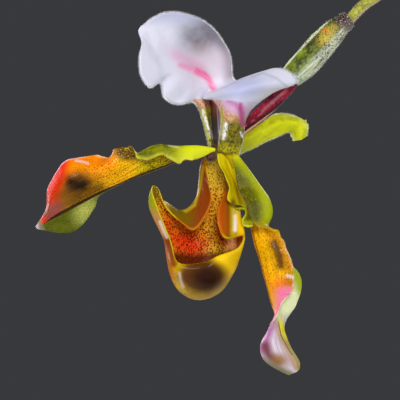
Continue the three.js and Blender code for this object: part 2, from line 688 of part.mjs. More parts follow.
// Blades at the flower's centre, each with a thicker twin that its neighbours keep clear of
const sheets = {
  dorsal_sepal: [lofted(Object.values(DORSAL)), 24, 12, SEPAL_THICKNESS, "#ece4ea", 0.6],
  petal_left: [ruffled(lofted(Object.values(LEFT_PETAL)), frill), 24, 8, PETAL_THICKNESS, "#d98b24", 0.4],
  petal_right: [ruffled(lofted(Object.values(RIGHT_PETAL)), frill), 30, 8, PETAL_THICKNESS, "#c9a12d", 0.4],
  synsepal: [lofted(Object.values(SYNSEPAL)), 12, 6, SEPAL_THICKNESS, "#a6bf1e", 0.6],
};

const pouchRows = Object.values(POUCH).map((line) => [TOE, ...line].map(placed));
const pouchSurface = (u, v) =>
  through(
    pouchRows.map((row) => through(row, u)),
    v,
    true,
  );

const keptClear = [columnRod(CLEARANCE), roundOvary];
for (const [name, [surface, along, across, thickness, colour, roughness]] of Object.entries(sheets)) {
  const whole = blade(surface, along, across, thickness);
  addPiece(name, clearOf(whole, keptClear), colour, roughness);
  keptClear.push(blade(surface, along, across, thickness + 2 * CLEARANCE));
}
const pouch = blade(pouchSurface, 10, 44, POUCH_THICKNESS, { around: true, poled: true });
addPiece("pouch", clearOf(pouch, keptClear), "#c96a1e", 0.35);

export default plant;
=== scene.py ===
"""Potted slipper orchid in one flower.

Metres, +Z up, with the origin at the centre of the pot's base. The flower is drawn on an
upright square grid of 400 steps, x to the right and y down. A third number in its lines is
the depth behind the grid, in millimetres.
"""

import math
from collections import namedtuple

import bpy
import numpy as np
from bpy.props import FloatProperty, FloatVectorProperty, IntProperty, PointerProperty
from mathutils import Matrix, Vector


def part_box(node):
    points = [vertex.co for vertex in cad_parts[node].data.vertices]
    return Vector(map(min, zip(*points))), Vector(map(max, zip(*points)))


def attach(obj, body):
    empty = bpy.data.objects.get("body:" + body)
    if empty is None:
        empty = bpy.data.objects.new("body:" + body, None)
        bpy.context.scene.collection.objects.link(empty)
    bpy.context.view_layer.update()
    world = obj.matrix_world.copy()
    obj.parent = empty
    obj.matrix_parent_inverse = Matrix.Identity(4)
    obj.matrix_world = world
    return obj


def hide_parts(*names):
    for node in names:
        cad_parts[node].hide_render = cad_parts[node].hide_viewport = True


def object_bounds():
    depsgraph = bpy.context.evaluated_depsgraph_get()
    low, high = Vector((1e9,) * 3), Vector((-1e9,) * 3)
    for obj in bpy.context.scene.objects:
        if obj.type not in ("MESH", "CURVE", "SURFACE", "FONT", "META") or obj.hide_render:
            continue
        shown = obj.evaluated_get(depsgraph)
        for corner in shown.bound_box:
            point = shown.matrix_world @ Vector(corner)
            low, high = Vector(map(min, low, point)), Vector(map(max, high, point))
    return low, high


bl_info = {
    "name": "Potted slipper orchid",
    "version": (1, 0, 0),
    "blender": (4, 5, 0),
    "location": "3D View > Sidebar > Orchid",
    "description": "Makes a slipper orchid in flower, with its leaves, potting mix and clay pot",
    "category": "Object",
}

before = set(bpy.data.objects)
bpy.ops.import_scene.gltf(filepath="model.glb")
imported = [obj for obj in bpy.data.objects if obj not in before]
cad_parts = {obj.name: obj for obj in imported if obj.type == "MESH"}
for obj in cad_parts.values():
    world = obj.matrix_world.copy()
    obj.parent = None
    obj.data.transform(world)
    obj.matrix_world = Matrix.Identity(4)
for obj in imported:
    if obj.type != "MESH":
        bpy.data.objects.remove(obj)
CAD_BOX = [list(corner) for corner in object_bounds()]

MM = 0.001

# The grid of the drawing, and the eye that sees it
GRID_STEP = 0.0003
GRID_MIDDLE = 200
GRID_X = -0.128
GRID_Z = 0.330
EYE_DISTANCE = 0.600
STEPS = 400
LENS = 180

# Pot and mix
POT_HEIGHT = 0.105
POT_TOP_RADIUS = 0.060
POT_BASE_RADIUS = 0.042
POT_WALL = 0.0045
POT_FLOOR = 0.006
POT_RIM_HEIGHT = 0.018
POT_RIM_STEP = 0.003
POT_EDGE = 0.0015
DRAIN_COUNT = 4
DRAIN_RADIUS = 0.005
DRAIN_CIRCLE = 0.024
MIX_TOP = 0.090
HOLE_DEPTH = 0.009
HOLE_HALF_LENGTH = 0.018
HOLE_HALF_WIDTH = 0.0105
CRUMB_COUNT = 330
CHIP_COUNT = 34
CHIP_LENGTH = 0.018
CHIP_TURN = 2.4
CHIP_TILT = 0.9

# Stem, ovary, leaves and petals
STEM_ARCH_RADIUS = 0.045
STEM_BOW = 0.009
STEM_TOP_RADIUS = 0.0016
STEM_FOOT_RADIUS = 0.0024
STEM_HAIR = 0.00045
OVARY_RADIUS = 0.0021
OVARY_RIBS = 6
LEAF_WIDTH = 0.036
LEAF_FOOT_WIDTH = 0.013
LEAF_FIRST_OFFSET = 0.0046
LEAF_OFFSET_STEP = 0.0034
LEAF_STEPS = 48
LEAF_WAVE = 0.8 * MM
FAN_TURN = 0.42
CLEARANCE = 0.0003
COARSE_FRILLS = 6
COARSE_FRILL = 0.9 * MM
COARSE_FRILL_WIDTH = 0.35
FINE_FRILL_WIDTH = 0.16
BLADE_RIPPLE = 0.12 * MM
DEPTHWAYS = np.array([0.0, 1.0, 0.0])

# Numbers of hairs
PETAL_EDGE_HAIRS = 260
SEPAL_BASE_HAIRS = 5200
COLUMN_HAIRS = 1500
OVARY_HAIRS = 2600
BRACT_HAIRS = 1600
STEM_HAIRS = 7600

# Rows and columns of the sheets and rods
DORSAL_GRID = (211, 119)
LEFT_PETAL_GRID = (291, 113)
RIGHT_PETAL_GRID = (321, 113)
FRILL_GRID = (91, 17)
SYNSEPAL_GRID = (141, 71)
POUCH_GRID = (115, 264)
BRACT_GRID = (101, 81)
LEAF_GRID = (109, 35)
COLUMN_GRID = (41, 28)
KNOB_ROWS = (24, 40)
OVARY_GRID = (121, 60)
BARE_OVARY_ROWS = (0, 75)
STEM_GRID = (321, 28)
SPIKE_GRID = (13, 12)
POT_SIDES = 128
DRAIN_SIDES = 40
MIX_SIDES = 120
FLOOR_SIDES = 96

# Thickness of the sheets
SEPAL_THICKNESS = 0.62 * MM
PETAL_THICKNESS = 0.7 * MM
BRACT_THICKNESS = 0.6 * MM
POUCH_THICKNESS = 0.66 * MM
LEAF_THICKNESS = 1.1 * MM

# Lines of the flower, from base to tip
DORSAL = {
    "leftMargin": [
        [209.5, 148, 2.5], [206.5, 135, 4.2], [202.8, 120, 5.4], [198.8, 108, 6.2], [193.5, 101, 4],
        [184, 103, 0], [174, 103, -2], [164, 96, -5], [161, 82, -4.5], [150.5, 87, -9],
        [141.5, 75, -11], [140, 57, -10.5], [143.2, 40.5, -9],
    ],
    "leftHalf": [
        [211, 148, 0.8], [209.3, 135, 1.8], [206.8, 120, 3], [203.5, 106, 4.2], [198, 97, 4.6],
        [193, 91, 3], [188, 87, 1.5], [183, 80, -0.5], [175, 73, -2.5], [164, 70, -5],
        [153, 63, -7.5], [147, 52, -8.5], [140.6, 36.8, -9],
    ],
    "midvein": [
        [214, 148, 3], [213, 135, 5], [212, 121, 6.5], [212, 109, 7.5], [211, 99, 7.5],
        [210.5, 94, 7], [209.5, 88.5, 6], [205, 81.5, 5.2], [199.5, 75, 4.3], [189.5, 68, 2.1],
        [175, 61, -1.5], [155, 48, -6], [139.2, 34, -9],
    ],
    "frontFold": [
        [218.5, 148, -0.5], [220.5, 135, -1.5], [221.8, 122, -2.5], [220.5, 110, -3], [213.5, 99.6, -1],
        [204, 98.6, 3], [205.5, 94.6, 4.2], [215, 89.2, 4.6], [215, 77, 5.4], [200, 63, 2.5],
        [182, 51, -1.5], [159, 40, -6], [138.5, 31.5, -9],
    ],
    "rightQuarter": [
        [224, 149, -2], [227, 135, -3.5], [230, 121, -5], [231, 109, -6], [231, 99, -7],
        [227, 92, -7], [221.5, 88.5, -4.5], [224, 88, 2.4], [221, 76.5, 5.4], [208, 55, 3],
        [189, 41, -1.5], [163, 31, -6.3], [138.9, 29.5, -9],
    ],
    "rightHalf": [
        [232, 150, -1], [236, 136, -2], [238, 122, -3.5], [242, 109, -5], [252, 95, -6],
        [260, 84, -6.5], [247, 77, -3.5], [232, 86, 3], [226, 76, 5.8], [217, 46, 3],
        [195, 30, -2.5], [166, 22, -6.8], [140, 27.8, -9],
    ],
    "rightMargin": [
        [239, 152, 1.5], [243, 138, 1.5], [244, 123, 1], [252, 108, 0], [275, 91, 0],
        [297, 82, 1], [278, 68, 1], [244, 81.5, 4.4], [232, 78, 6.2], [229, 52, 3.5],
        [205, 22, -3], [168, 12.5, -7.5], [141.8, 26, -9],
    ],
}

LEFT_PETAL = {
    "frontMargin": [
        [214.5, 151.5, -1], [197, 159, -4], [180, 160.5, -5], [163, 155.5, -7], [147, 161, -6.8],
        [132, 149.5, -5], [118.6, 148.4, -3.4], [113, 156.6, -1.5], [75, 158, 0.5], [59, 168, 1],
        [49, 186, 1], [47, 207, 0.5], [36.3, 226.8, 0],
    ],
    "frontHalf": [
        [215, 149.2, -1.5], [197, 146.3, -3], [179, 146.5, -3.5], [163, 145.6, -3.5], [148, 148.4, -3.5],
        [133.5, 158, -2.8], [116, 166, -4], [97, 172, -4], [79, 177, -4], [64, 186, -3],
        [53, 198, -2], [47.5, 213.5, -1], [36.2, 227.2, -0.2],
    ],
    "midvein": [
        [214, 151, 2], [196, 153, 2.5], [179, 159, 2.5], [164, 166, 2], [149, 171, 1],
        [133, 177, 0], [116, 185, 0], [98, 193, 0], [81, 202, 0], [66, 210, 0],
        [54, 216.5, 0], [46, 221.5, 0], [36.3, 227.6, -0.2],
    ],
    "backHalf": [
        [214, 153, 4], [196, 155, 6], [179, 159, 6.5], [164, 162, 6], [149, 166, 5],
        [133, 172, 4.5], [116, 181, 4], [99, 194.4, 3], [84, 209.5, 2], [69, 220.5, 1],
        [57, 225, 1], [46.5, 226, 0.5], [36.4, 228, 0],
    ],
    "backMargin": [
        [214, 155, 5.5], [196, 157, 8.5], [179, 158, 9.5], [164, 158, 9.5], [149, 161, 8.5],
        [133, 168, 8], [116, 179, 7], [100.5, 196, 5.5], [86.6, 219, 3], [74, 231.6, 2],
        [58, 232.8, 1.5], [46, 230.8, 1], [36.7, 228.4, 0.2],
    ],
}

RIGHT_PETAL = {
    "frontMargin": [
        [232, 158, -1.5], [235, 170, -3.5], [239, 186, -5], [244, 202, -6], [252.5, 220.5, -7],
        [269, 228.6, -6.5], [283.4, 243.5, -3], [289.6, 258, -2], [295, 273.5, -1], [292.5, 289.5, -2],
        [281, 305, -3.5], [273.4, 320, -4], [266, 333, -2], [261, 347, -1.5], [266, 362, -2],
        [288, 374.5, -2.5],
    ],
    "frontHalf": [
        [237, 155, -1], [247, 168, -1.5], [260, 186, -2], [269, 200, -2.5], [272, 214, -2.5],
        [266.5, 228, -2], [270, 243, -3], [275, 258, -3], [281, 273, -3], [281, 290, -3],
        [277, 304, -2.5], [274.5, 319, -2.6], [270, 332, -3.8], [268, 345, -4.5], [274, 361, -4.5],
        [290.5, 374, -3],
    ],
    "midvein": [
        [227, 153, 1], [231, 166, 2], [238, 184, 2.5], [243, 200, 3], [248.5, 213, 3],
        [253, 227.5, 1], [256, 244, 0], [260, 258, 0], [263, 272, 0], [268, 289, 0],
        [272, 303, 0], [278, 318, -1], [275.5, 331, -3.8], [276, 345, -5], [283, 360, -5],
        [291.8, 373.3, -3],
    ],
    "backHalf": [
        [222, 153, 0], [225, 167, 1], [233.5, 186, 1.5], [237, 201, 2], [246, 212.5, 3.3],
        [251.7, 227.3, 4.5], [258, 243, 3], [266, 258, 3], [281, 273, 3.5], [282, 290, 3],
        [281, 305, 2.5], [282.5, 318, 0.8], [281, 331, -1.8], [284, 345, -3], [291, 360, -3.5],
        [295.2, 372.2, -3],
    ],
    "backMargin": [
        [217, 154, -1], [219, 168, -1], [229.5, 189, -1], [230.5, 202.5, -0.5], [243.5, 211.5, 2.5],
        [250.7, 227, 7.5], [262, 243, 6], [274, 258, 6], [297.5, 271.5, 5], [302, 286, 4],
        [295.5, 305, 4], [287.5, 318, 3], [283.4, 330.5, 1], [289.4, 345, 0.5], [299, 361, 0],
        [299, 370, -2],
    ],
}

SYNSEPAL = {
    "upperMargin": [
        [246, 133, 5], [264, 122, 8], [275, 115, 10], [287, 115, 11], [298.5, 118, 11],
        [307.5, 125.5, 10], [305.8, 136.5, 9],
    ],
    "middle": [
        [241, 143, 2], [258, 134, 5], [273, 126, 7], [286, 122, 8], [296.5, 124, 8],
        [301.5, 131, 7], [300.5, 139.8, 7.5],
    ],
    "lowerMargin": [
        [236, 155, 4], [252, 148, 7], [268, 140, 9], [284, 133, 10.5], [291, 131.5, 10.5],
        [292, 135.5, 10], [295.3, 140.6, 9.5],
    ],
}

TOE = [199, 299, 0]
POUCH = {
    "front": [[203, 295, -7], [205, 282, -12.5], [204, 271, -14], [204, 266, -13.8], [203, 263, -13]],
    "frontLeft": [[188, 294.6, -5], [182, 283, -9], [177, 272, -11], [176, 266, -11], [178, 263, -10.5]],
    "left": [[181.6, 291.4, -1.5], [173, 277, -4], [168, 258, -6], [169, 250, -7], [172, 244, -7.5]],
    "leftSide": [[179.6, 290.2, 0.5], [170, 271, -1], [166, 245, -3], [163, 234, -4.5], [164, 224, -6]],
    "leftEar": [[178.8, 289, 2.5], [171, 266, 2], [163, 233, 0], [150, 208, -3.5], [151.5, 190, -5]],
    "leftEarTip": [[180.4, 288, 4.5], [172, 264, 3.5], [164.4, 231, 2], [155, 205, -1], [158, 187.5, -3]],
    "leftEarBack": [[184, 287, 6], [174, 262, 5], [168, 232, 4], [165, 202.6, 0.5], [166, 208, -2.5]],
    "leftLobe": [[187, 286, 7.5], [181, 257, 8], [179, 230, 6.5], [179, 211, 1], [184, 225, -2.5]],
    "leftLobeTip": [[190, 285, 8.5], [188, 254, 9.5], [188, 228, 8.5], [190, 207, 2.5], [196, 230, -1.5]],
    "leftLobeBack": [[193.5, 284, 9.3], [194, 251, 10.5], [195, 224, 10], [198, 195, 4], [211, 206, 1]],
    "leftFold": [[197, 283, 9.8], [199, 249, 11], [201, 220, 10.5], [199.5, 181, 5], [209, 186, 4]],
    "leftEdge": [[200.5, 283, 10], [203, 248, 11.5], [206, 218, 11], [201.2, 172, 7], [203.6, 157, 3.5]],
    "clawMiddle": [[204, 283, 10], [208, 247, 11.5], [212, 216, 11], [213, 182, 9], [211, 156, 4.5]],
    "rightEdge": [[207.5, 283, 10], [212, 248, 11.5], [216, 218, 11], [220, 178, 7.8], [216, 157, 4.5]],
    "rightClaw": [[209, 283.5, 9.8], [214, 248.5, 11.3], [220, 219.5, 11], [228, 190, 8.3], [225, 178, 6.5]],
    "rightLobeTip": [[211, 284, 9.5], [216, 249, 11], [223, 221, 10.5], [232, 191, 6], [223, 196, 4]],
    "rightLobeBack": [[214.5, 285, 8.5], [222, 252, 10], [230, 226, 9], [238, 205, 4.5], [217, 212, 0.5]],
    "rightLobe": [[218, 287, 6.5], [229, 256, 8], [236, 234, 6.5], [240, 219, 1.5], [219, 229, -1.5]],
    "rightEarBack": [[220, 288, 4.5], [234, 261, 4.5], [239, 243, 2], [243, 230, -2], [226, 239, -4]],
    "rightEar": [[221.4, 290, 1.5], [235.4, 266, 0], [240, 251, -3], [243.8, 240, -6], [244, 235, -7.5]],
    "right": [[217.8, 292, -2.5], [231, 275, -6], [236.8, 261, -8.5], [237.8, 254, -9.5], [238, 248, -10]],
    "frontRight": [[212, 294, -5.5], [220, 280, -10.5], [222, 266, -12.5], [220, 258, -13], [218, 256, -12]],
}

OVARY_LINE = [
    [240, 131, 5], [252, 121, 6], [268, 107, 7.5], [284, 90, 9], [296, 76, 10],
    [310, 60, 10.5], [324, 44, 11], [336, 31, 11],
]

BRACT_LINE = [
    [290, 78, 9.8], [298, 70, 10], [306, 62, 10.2], [315, 52, 10.6], [324, 42, 11],
    [332, 33, 11], [341, 25, 11], [349, 19, 11],
]

SPIKE_LINE = [[303.5, 126, 9.6], [305, 123.5, 9.8], [305.8, 121.6, 10], [306.2, 119.5, 10]]

STEM_TIP_LINE = [[337.5, 29.8, 11], [350.5, 18.5, 11], [371, 0, 11]]

COLUMN_LINE = [
    [238, 132, 5.5], [231, 139, 4.5], [223, 146, 3.2], [214, 152, 1], [209.5, 159, -2.5],
]

RIGHT_FRILL = {
    "loop": [
        [236, 208.8, 1], [241.5, 208.8, 0], [244.8, 209.4, -1.5], [246.4, 212, -2.5], [245.2, 215.8, -2],
        [242.6, 219, -1.5], [241.8, 222.3, -2], [243.6, 225.4, -3], [248, 226.6, -3.5], [252.5, 225.5, -3.5],
    ],
    "middle": [
        [236.5, 207, 3], [242.3, 207, 2.5], [246, 208, 1.5], [247.7, 211, 0.8], [247.6, 214.6, 0.8],
        [246.6, 218, 0.8], [246.7, 221, 0], [248, 223.5, -0.5], [251, 224.8, -1], [254.2, 224.8, -1.5],
    ],
    "root": [
        [237, 205, 2.5], [243, 205, 2], [247.2, 206.5, 1.5], [249, 210, 1], [250, 213.5, 1],
        [250.6, 217, 0.5], [251.5, 219.5, 0], [252.5, 221.5, -0.5], [254, 223, -1], [256, 224, -1.5],
    ],
}

# Half widths and depths of the bract and radii of the column, in millimetres
BRACT_HALF_WIDTHS = [3.3, 3.8, 4.1, 4.1, 4.0, 3.6, 2.9, 2.3]
BRACT_HALF_DEPTHS = [2.95, 3.1, 3.3, 3.3, 3.2, 3.0, 2.6, 2.3]
BRACT_OPENING = 0.5
COLUMN_RADII = [1.4, 1.6, 1.5, 1.9, 1.2]

# Crests on the petals' front edges: share of the length, width, rise and push in millimetres
LEFT_CRESTS = [
    (0.486, 0.012, 0.2, -0.6), (0.463, 0.015, 0.0, 1.0), (0.425, 0.022, 0.2, -0.7),
    (0.62, 0.018, 1.5, -0.4), (0.56, 0.016, -0.1, 0.4), (0.38, 0.012, -0.5, 0.6),
    (0.166, 0.010, 0.8, -0.5), (0.18, 0.010, 1.0, -0.5), (0.194, 0.010, 0.8, -0.5), (0.11, 0.010, 0.3, -0.3),
    (0.14, 0.009, -0.2, 0.3), (0.235, 0.012, -0.4, 0.5), (0.30, 0.014, 0.4, -0.3),
]
RIGHT_CRESTS = [
    (0.362, 0.012, 0.25, 0.5), (0.40, 0.013, 0.4, 0.5), (0.43, 0.012, -0.2, -0.5),
    (0.47, 0.012, 0.2, 0.4), (0.51, 0.012, -0.3, -0.4), (0.548, 0.014, 0.4, 0.5),
]

# Leaves: side of the fan, rank in it, length, first heading and how far they arch over
Leaf = namedtuple("Leaf", "side rank length lift droop")
LEAVES = [
    Leaf(1, 0, 0.170, 1.42, 0.9),
    Leaf(-1, 0, 0.150, 1.45, 0.7),
    Leaf(1, 1, 0.215, 1.25, 1.35),
    Leaf(-1, 1, 0.205, 1.2, 1.3),
    Leaf(1, 2, 0.200, 1.0, 1.55),
    Leaf(-1, 2, 0.210, 1.0, 1.5),
]


def rgb(code):
    """Linear colour of a hex code"""
    parts = [int(code[k : k + 2], 16) / 255 for k in (1, 3, 5)]
    return tuple(p / 12.92 if p <= 0.04045 else ((p + 0.055) / 1.055) ** 2.4 for p in parts)


def placed(points):
    """Drawn points in the part's frame: what lies deeper is drawn smaller"""
    p = np.asarray(points, float)
    depth = p[..., 2] * MM
    spread = GRID_STEP * (1 + depth / EYE_DISTANCE)
    x = GRID_X + (p[..., 0] - GRID_MIDDLE) * spread
    z = GRID_Z + (GRID_MIDDLE - p[..., 1]) * spread
    return np.stack([x, depth, z], -1)


def drawn(points):
    """Shares of the grid's width and height at which points of the part are drawn"""
    spread = GRID_STEP * (1 + points[..., 1] / EYE_DISTANCE)
    x = GRID_MIDDLE + (points[..., 0] - GRID_X) / spread
    y = GRID_MIDDLE - (points[..., 2] - GRID_Z) / spread
    return np.stack([x / STEPS, 1 - y / STEPS], -1)


def spline_weights(count, t, closed=False):
    """Weights of evenly numbered points for a smooth curve through them, one row for each t"""
    t = np.atleast_1d(np.asarray(t, float))
    spans = count if closed else count - 1
    s = np.clip(t, 0, 1) * spans
    i = np.minimum(s.astype(int), spans - 1)
    f = s - i
    parts = [
        0.5 * (-f + 2 * f * f - f**3),
        0.5 * (2 - 5 * f * f + 3 * f**3),
        0.5 * (f + 4 * f * f - 3 * f**3),
        0.5 * (-f * f + f**3),
    ]
    weights = np.zeros((len(t), count))
    for k, part in enumerate(parts):
        at = (i + k - 1) % count if closed else np.clip(i + k - 1, 0, count - 1)
        np.add.at(weights, (np.arange(len(t)), at), part)
    return weights


def curve_at(points, t):
    """Points of the smooth curve through the given ones"""
    points = np.asarray(points, float)
    return spline_weights(len(points), t) @ points


def loft(lines, u, v, closed=False):
    """Grid of points on the surface through drawn lines"""
    stack = np.array([placed(line) for line in lines])
    across = spline_weights(len(stack), v, closed)
    along = spline_weights(stack.shape[1], u)
    return np.einsum("vl,lpc,up->uvc", across, stack, along)


def unit(vectors):
    """Vectors scaled to the length 1"""
    return vectors / np.maximum(np.linalg.norm(vectors, axis=-1, keepdims=True), 1e-15)


def normals_of(grid, around=False):
    """Unit normals of a grid of points"""
    along = np.gradient(grid, axis=0)
    if around:
        across = np.roll(grid, -1, 1) - np.roll(grid, 1, 1)
    else:
        across = np.gradient(grid, axis=1)
    return unit(np.cross(along, across))


def eased(grid, times, around=False):
    """The grid with its creases smoothed, its borders kept"""
    grid = grid.copy()
    for _ in range(times):
        grid[1:-1] = grid[1:-1] / 2 + (grid[:-2] + grid[2:]) / 4
        if around:
            grid = grid / 2 + (np.roll(grid, 1, 1) + np.roll(grid, -1, 1)) / 4
        else:
            grid[:, 1:-1] = grid[:, 1:-1] / 2 + (grid[:, :-2] + grid[:, 2:]) / 4
    return grid


def from_edge(grid):
    """Distance of each point of a grid from its nearer long edge, along the surface"""
    steps = np.linalg.norm(np.diff(grid, axis=1), axis=-1)
    left = np.concatenate([np.zeros((len(grid), 1)), np.cumsum(steps, 1)], 1)
    return np.minimum(left, left[:, -1:] - left)


def ripple(seed, u, v, waves, crossing=1.0):
    """Smooth uneven waves over a sheet, between -1 and 1"""
    random = np.random.default_rng(seed)
    total = np.zeros(np.broadcast(u, v).shape)
    for k in range(4):
        turns = waves * (0.6 + 0.35 * k)
        lean = crossing * random.uniform(-1, 1)
        total = total + np.sin(2 * np.pi * (turns * u + lean * v + random.random())) / 4
    return total * 1.4


class Skin:
    """Closed skin of a thin sheet that is given by a grid of points"""

    def __init__(self, grid, half, around=False, pole=None):
        self.rows, self.columns = grid.shape[:2]
        self.grid, self.normal = grid, normals_of(grid, around)
        self.spans = self.columns if around else self.columns - 1
        self.first = 0 if pole is None else 1
        self.whole = np.array([self.rows - 1 + self.first, self.spans], float)
        self.faces, self.sides, self.spots = [], [], []
        half = np.broadcast_to(half, (self.rows, self.columns))[..., None]
        out, inside = grid + self.normal * half, grid - self.normal * half
        points = [out.reshape(-1, 3), inside.reshape(-1, 3)]
        row, column = np.arange(self.rows - 1), np.arange(self.spans)
        i, j = np.meshgrid(row, column, indexing="ij")
        self.strip((i, j, 0), (i + 1, j, 0), (i + 1, j + 1, 0), (i, j + 1, 0))
        self.strip((i, j, 1), (i, j + 1, 1), (i + 1, j + 1, 1), (i + 1, j, 1), side=1)
        end, base = np.full_like(column, self.rows - 1), np.zeros_like(column)
        self.strip((end, column, 0), (end, column, 1), (end, column + 1, 1), (end, column + 1, 0))
        if pole is None:
            self.strip((base, column, 0), (base, column + 1, 0), (base, column + 1, 1), (base, column, 1))
        if not around:
            left, right = np.zeros_like(row), np.full_like(row, self.columns - 1)
            self.strip((row, left, 0), (row, left, 1), (row + 1, left, 1), (row + 1, left, 0))
            self.strip((row, right, 0), (row + 1, right, 0), (row + 1, right, 1), (row, right, 1))
        if pole is not None:
            outward = unit(self.normal[0].mean(0)) * half[0, 0]
            points.append(np.array([pole + outward, pole - outward]))
            self.close_at_pole()
        self.points = np.concatenate(points)
        self.share = np.concatenate(self.spots)

    def corners(self, i, j, side):
        """Numbers of the points at a row and column on one side"""
        return side * self.rows * self.columns + i * self.columns + j % self.columns

    def strip(self, *path, side=0):
        """Adds quads from four corners, each (row, column, side), and their maps"""
        quads = np.stack([self.corners(*corner) for corner in path], -1).reshape(-1, 4)
        spots = [np.stack(np.broadcast_arrays(i + self.first, j), -1) for i, j, _ in path]
        self.faces += quads.tolist()
        self.sides += [side] * len(quads)
        self.spots.append(np.stack(spots, -2).reshape(-1, 2) / self.whole)

    def close_at_pole(self):
        """Adds the triangles of both sides that meet in the pole"""
        poles = 2 * self.rows * self.columns
        step = 1 / self.whole[0]
        for k in range(self.spans):
            here, after = k / self.spans, (k + 1) / self.spans
            self.faces.append([poles, self.corners(0, k, 0), self.corners(0, k + 1, 0)])
            self.faces.append([poles + 1, self.corners(0, k + 1, 1), self.corners(0, k, 1)])
            self.sides += [0, 1]
            self.spots.append(np.array([[0, here], [step, here], [step, after]]))
            self.spots.append(np.array([[0, here], [step, after], [step, here]]))


def tube(path, radius, sides):
    """Points, faces, map and spokes of a closed rod along a path; radius has a row for each point"""
    path = np.asarray(path, float)
    tangent = unit(np.gradient(path, axis=0))
    across = unit(DEPTHWAYS - tangent * (tangent @ DEPTHWAYS)[:, None])
    up = np.cross(tangent, across)
    angle = np.arange(sides) / sides * 2 * np.pi
    reach = np.broadcast_to(radius, (len(path), sides))[..., None]
    ring = across[:, None] * np.cos(angle)[:, None] + up[:, None] * np.sin(angle)[:, None]
    points = np.concatenate([(path[:, None] + ring * reach).reshape(-1, 3), path[[0, -1]]])
    faces = wrapped(len(path), sides)
    i, j = np.meshgrid(np.arange(len(path) - 1), np.arange(sides), indexing="ij")
    spots = [np.stack(spot, -1) for spot in ((i, j), (i, j + 1), (i + 1, j + 1), (i + 1, j))]
    spots = np.stack(spots, -2).reshape(-1, 2) / (len(path) - 1, sides)
    caps = []
    for k in range(sides):
        caps += [[0, k / sides]] * 3 + [[1, k / sides]] * 3
    close_ends(faces, len(points), sides)
    return points, faces, np.concatenate([spots, np.array(caps)]), ring


def wrapped(rows, sides):
    """Quads between rings of points"""
    i, j = np.meshgrid(np.arange(rows - 1), np.arange(sides), indexing="ij")
    k = (j + 1) % sides
    quads = np.stack([i * sides + j, i * sides + k, (i + 1) * sides + k, (i + 1) * sides + j], -1)
    return quads.reshape(-1, 4).tolist()


def close_ends(faces, count, sides):
    """Adds the triangles from the first and last ring to the last two of all points"""
    last = count - 2 - sides
    for k in range(sides):
        after = (k + 1) % sides
        faces.append([count - 2, after, k])
        faces.append([count - 1, last + k, last + after])


def new_piece(name, points, faces, finishes, node=None, share=None, sides=None, smooth=True):
    """A mesh piece that rides on the plant, with its maps and finishes"""
    mesh = bpy.data.meshes.new(name)
    points = np.asarray(points, float)
    mesh.from_pydata(points.tolist(), [], faces)
    for finish in finishes:
        mesh.materials.append(finish.material)
    if sides is not None:
        mesh.polygons.foreach_set("material_index", sides)
    if share is not None:
        mesh.uv_layers.new(name="share").uv.foreach_set("vector", np.ravel(share))
        corners = np.concatenate([np.asarray(face) for face in faces])
        mesh.uv_layers.new(name="drawn").uv.foreach_set("vector", drawn(points)[corners].ravel())
    mesh.polygons.foreach_set("use_smooth", [smooth] * len(mesh.polygons))
    mesh.update()
    piece = bpy.data.objects.new(name, mesh)
    bpy.context.scene.collection.objects.link(piece)
    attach(piece, "root")
    if node:
        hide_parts(node)
    return piece


def skin_piece(name, skin, finishes, node):
    """A sheet of the plant, its outer finish first and its inner one second"""
    return new_piece(name, skin.points, skin.faces, finishes, node, skin.share, skin.sides)


def hairs(name, roots, ways, length, width, finish, slot, seed, bend=0.35):
    """Fine tapered hairs that stand on the given points"""
    random = np.random.default_rng(seed)
    roots, ways = np.asarray(roots), np.asarray(ways)
    count = len(roots)
    ways = unit(ways + random.normal(0, 0.22, (count, 3)))
    reach = length * random.uniform(0.55, 1.0, (count, 1))
    helper = np.where(np.abs(ways[:, 2:3]) < 0.9, [[0, 0, 1.0]], [[1.0, 0, 0]])
    side = unit(np.cross(ways, helper))
    other = np.cross(ways, side)
    turn = random.uniform(0, 2 * np.pi, (count, 1))
    sway = (side * np.cos(turn) + other * np.sin(turn)) * reach * bend
    points = np.zeros((count, 7, 3))
    for k in range(3):
        angle = k * 2 * np.pi / 3
        ring = side * math.cos(angle) + other * math.sin(angle)
        points[:, k] = roots + ring * width
        points[:, 3 + k] = roots + ways * reach * 0.55 + sway * 0.3 + ring * width * 0.7
    points[:, 6] = roots + ways * reach + sway
    base = (np.arange(count) * 7)[:, None, None]
    quads = base + np.array([[k, (k + 1) % 3, 3 + (k + 1) % 3, 3 + k] for k in range(3)])
    tips = base + np.array([[3 + k, 3 + (k + 1) % 3, 6] for k in range(3)])
    faces = quads.reshape(-1, 4).tolist() + tips.reshape(-1, 3).tolist()
    return new_piece(name, points.reshape(-1, 3), faces, [finish])


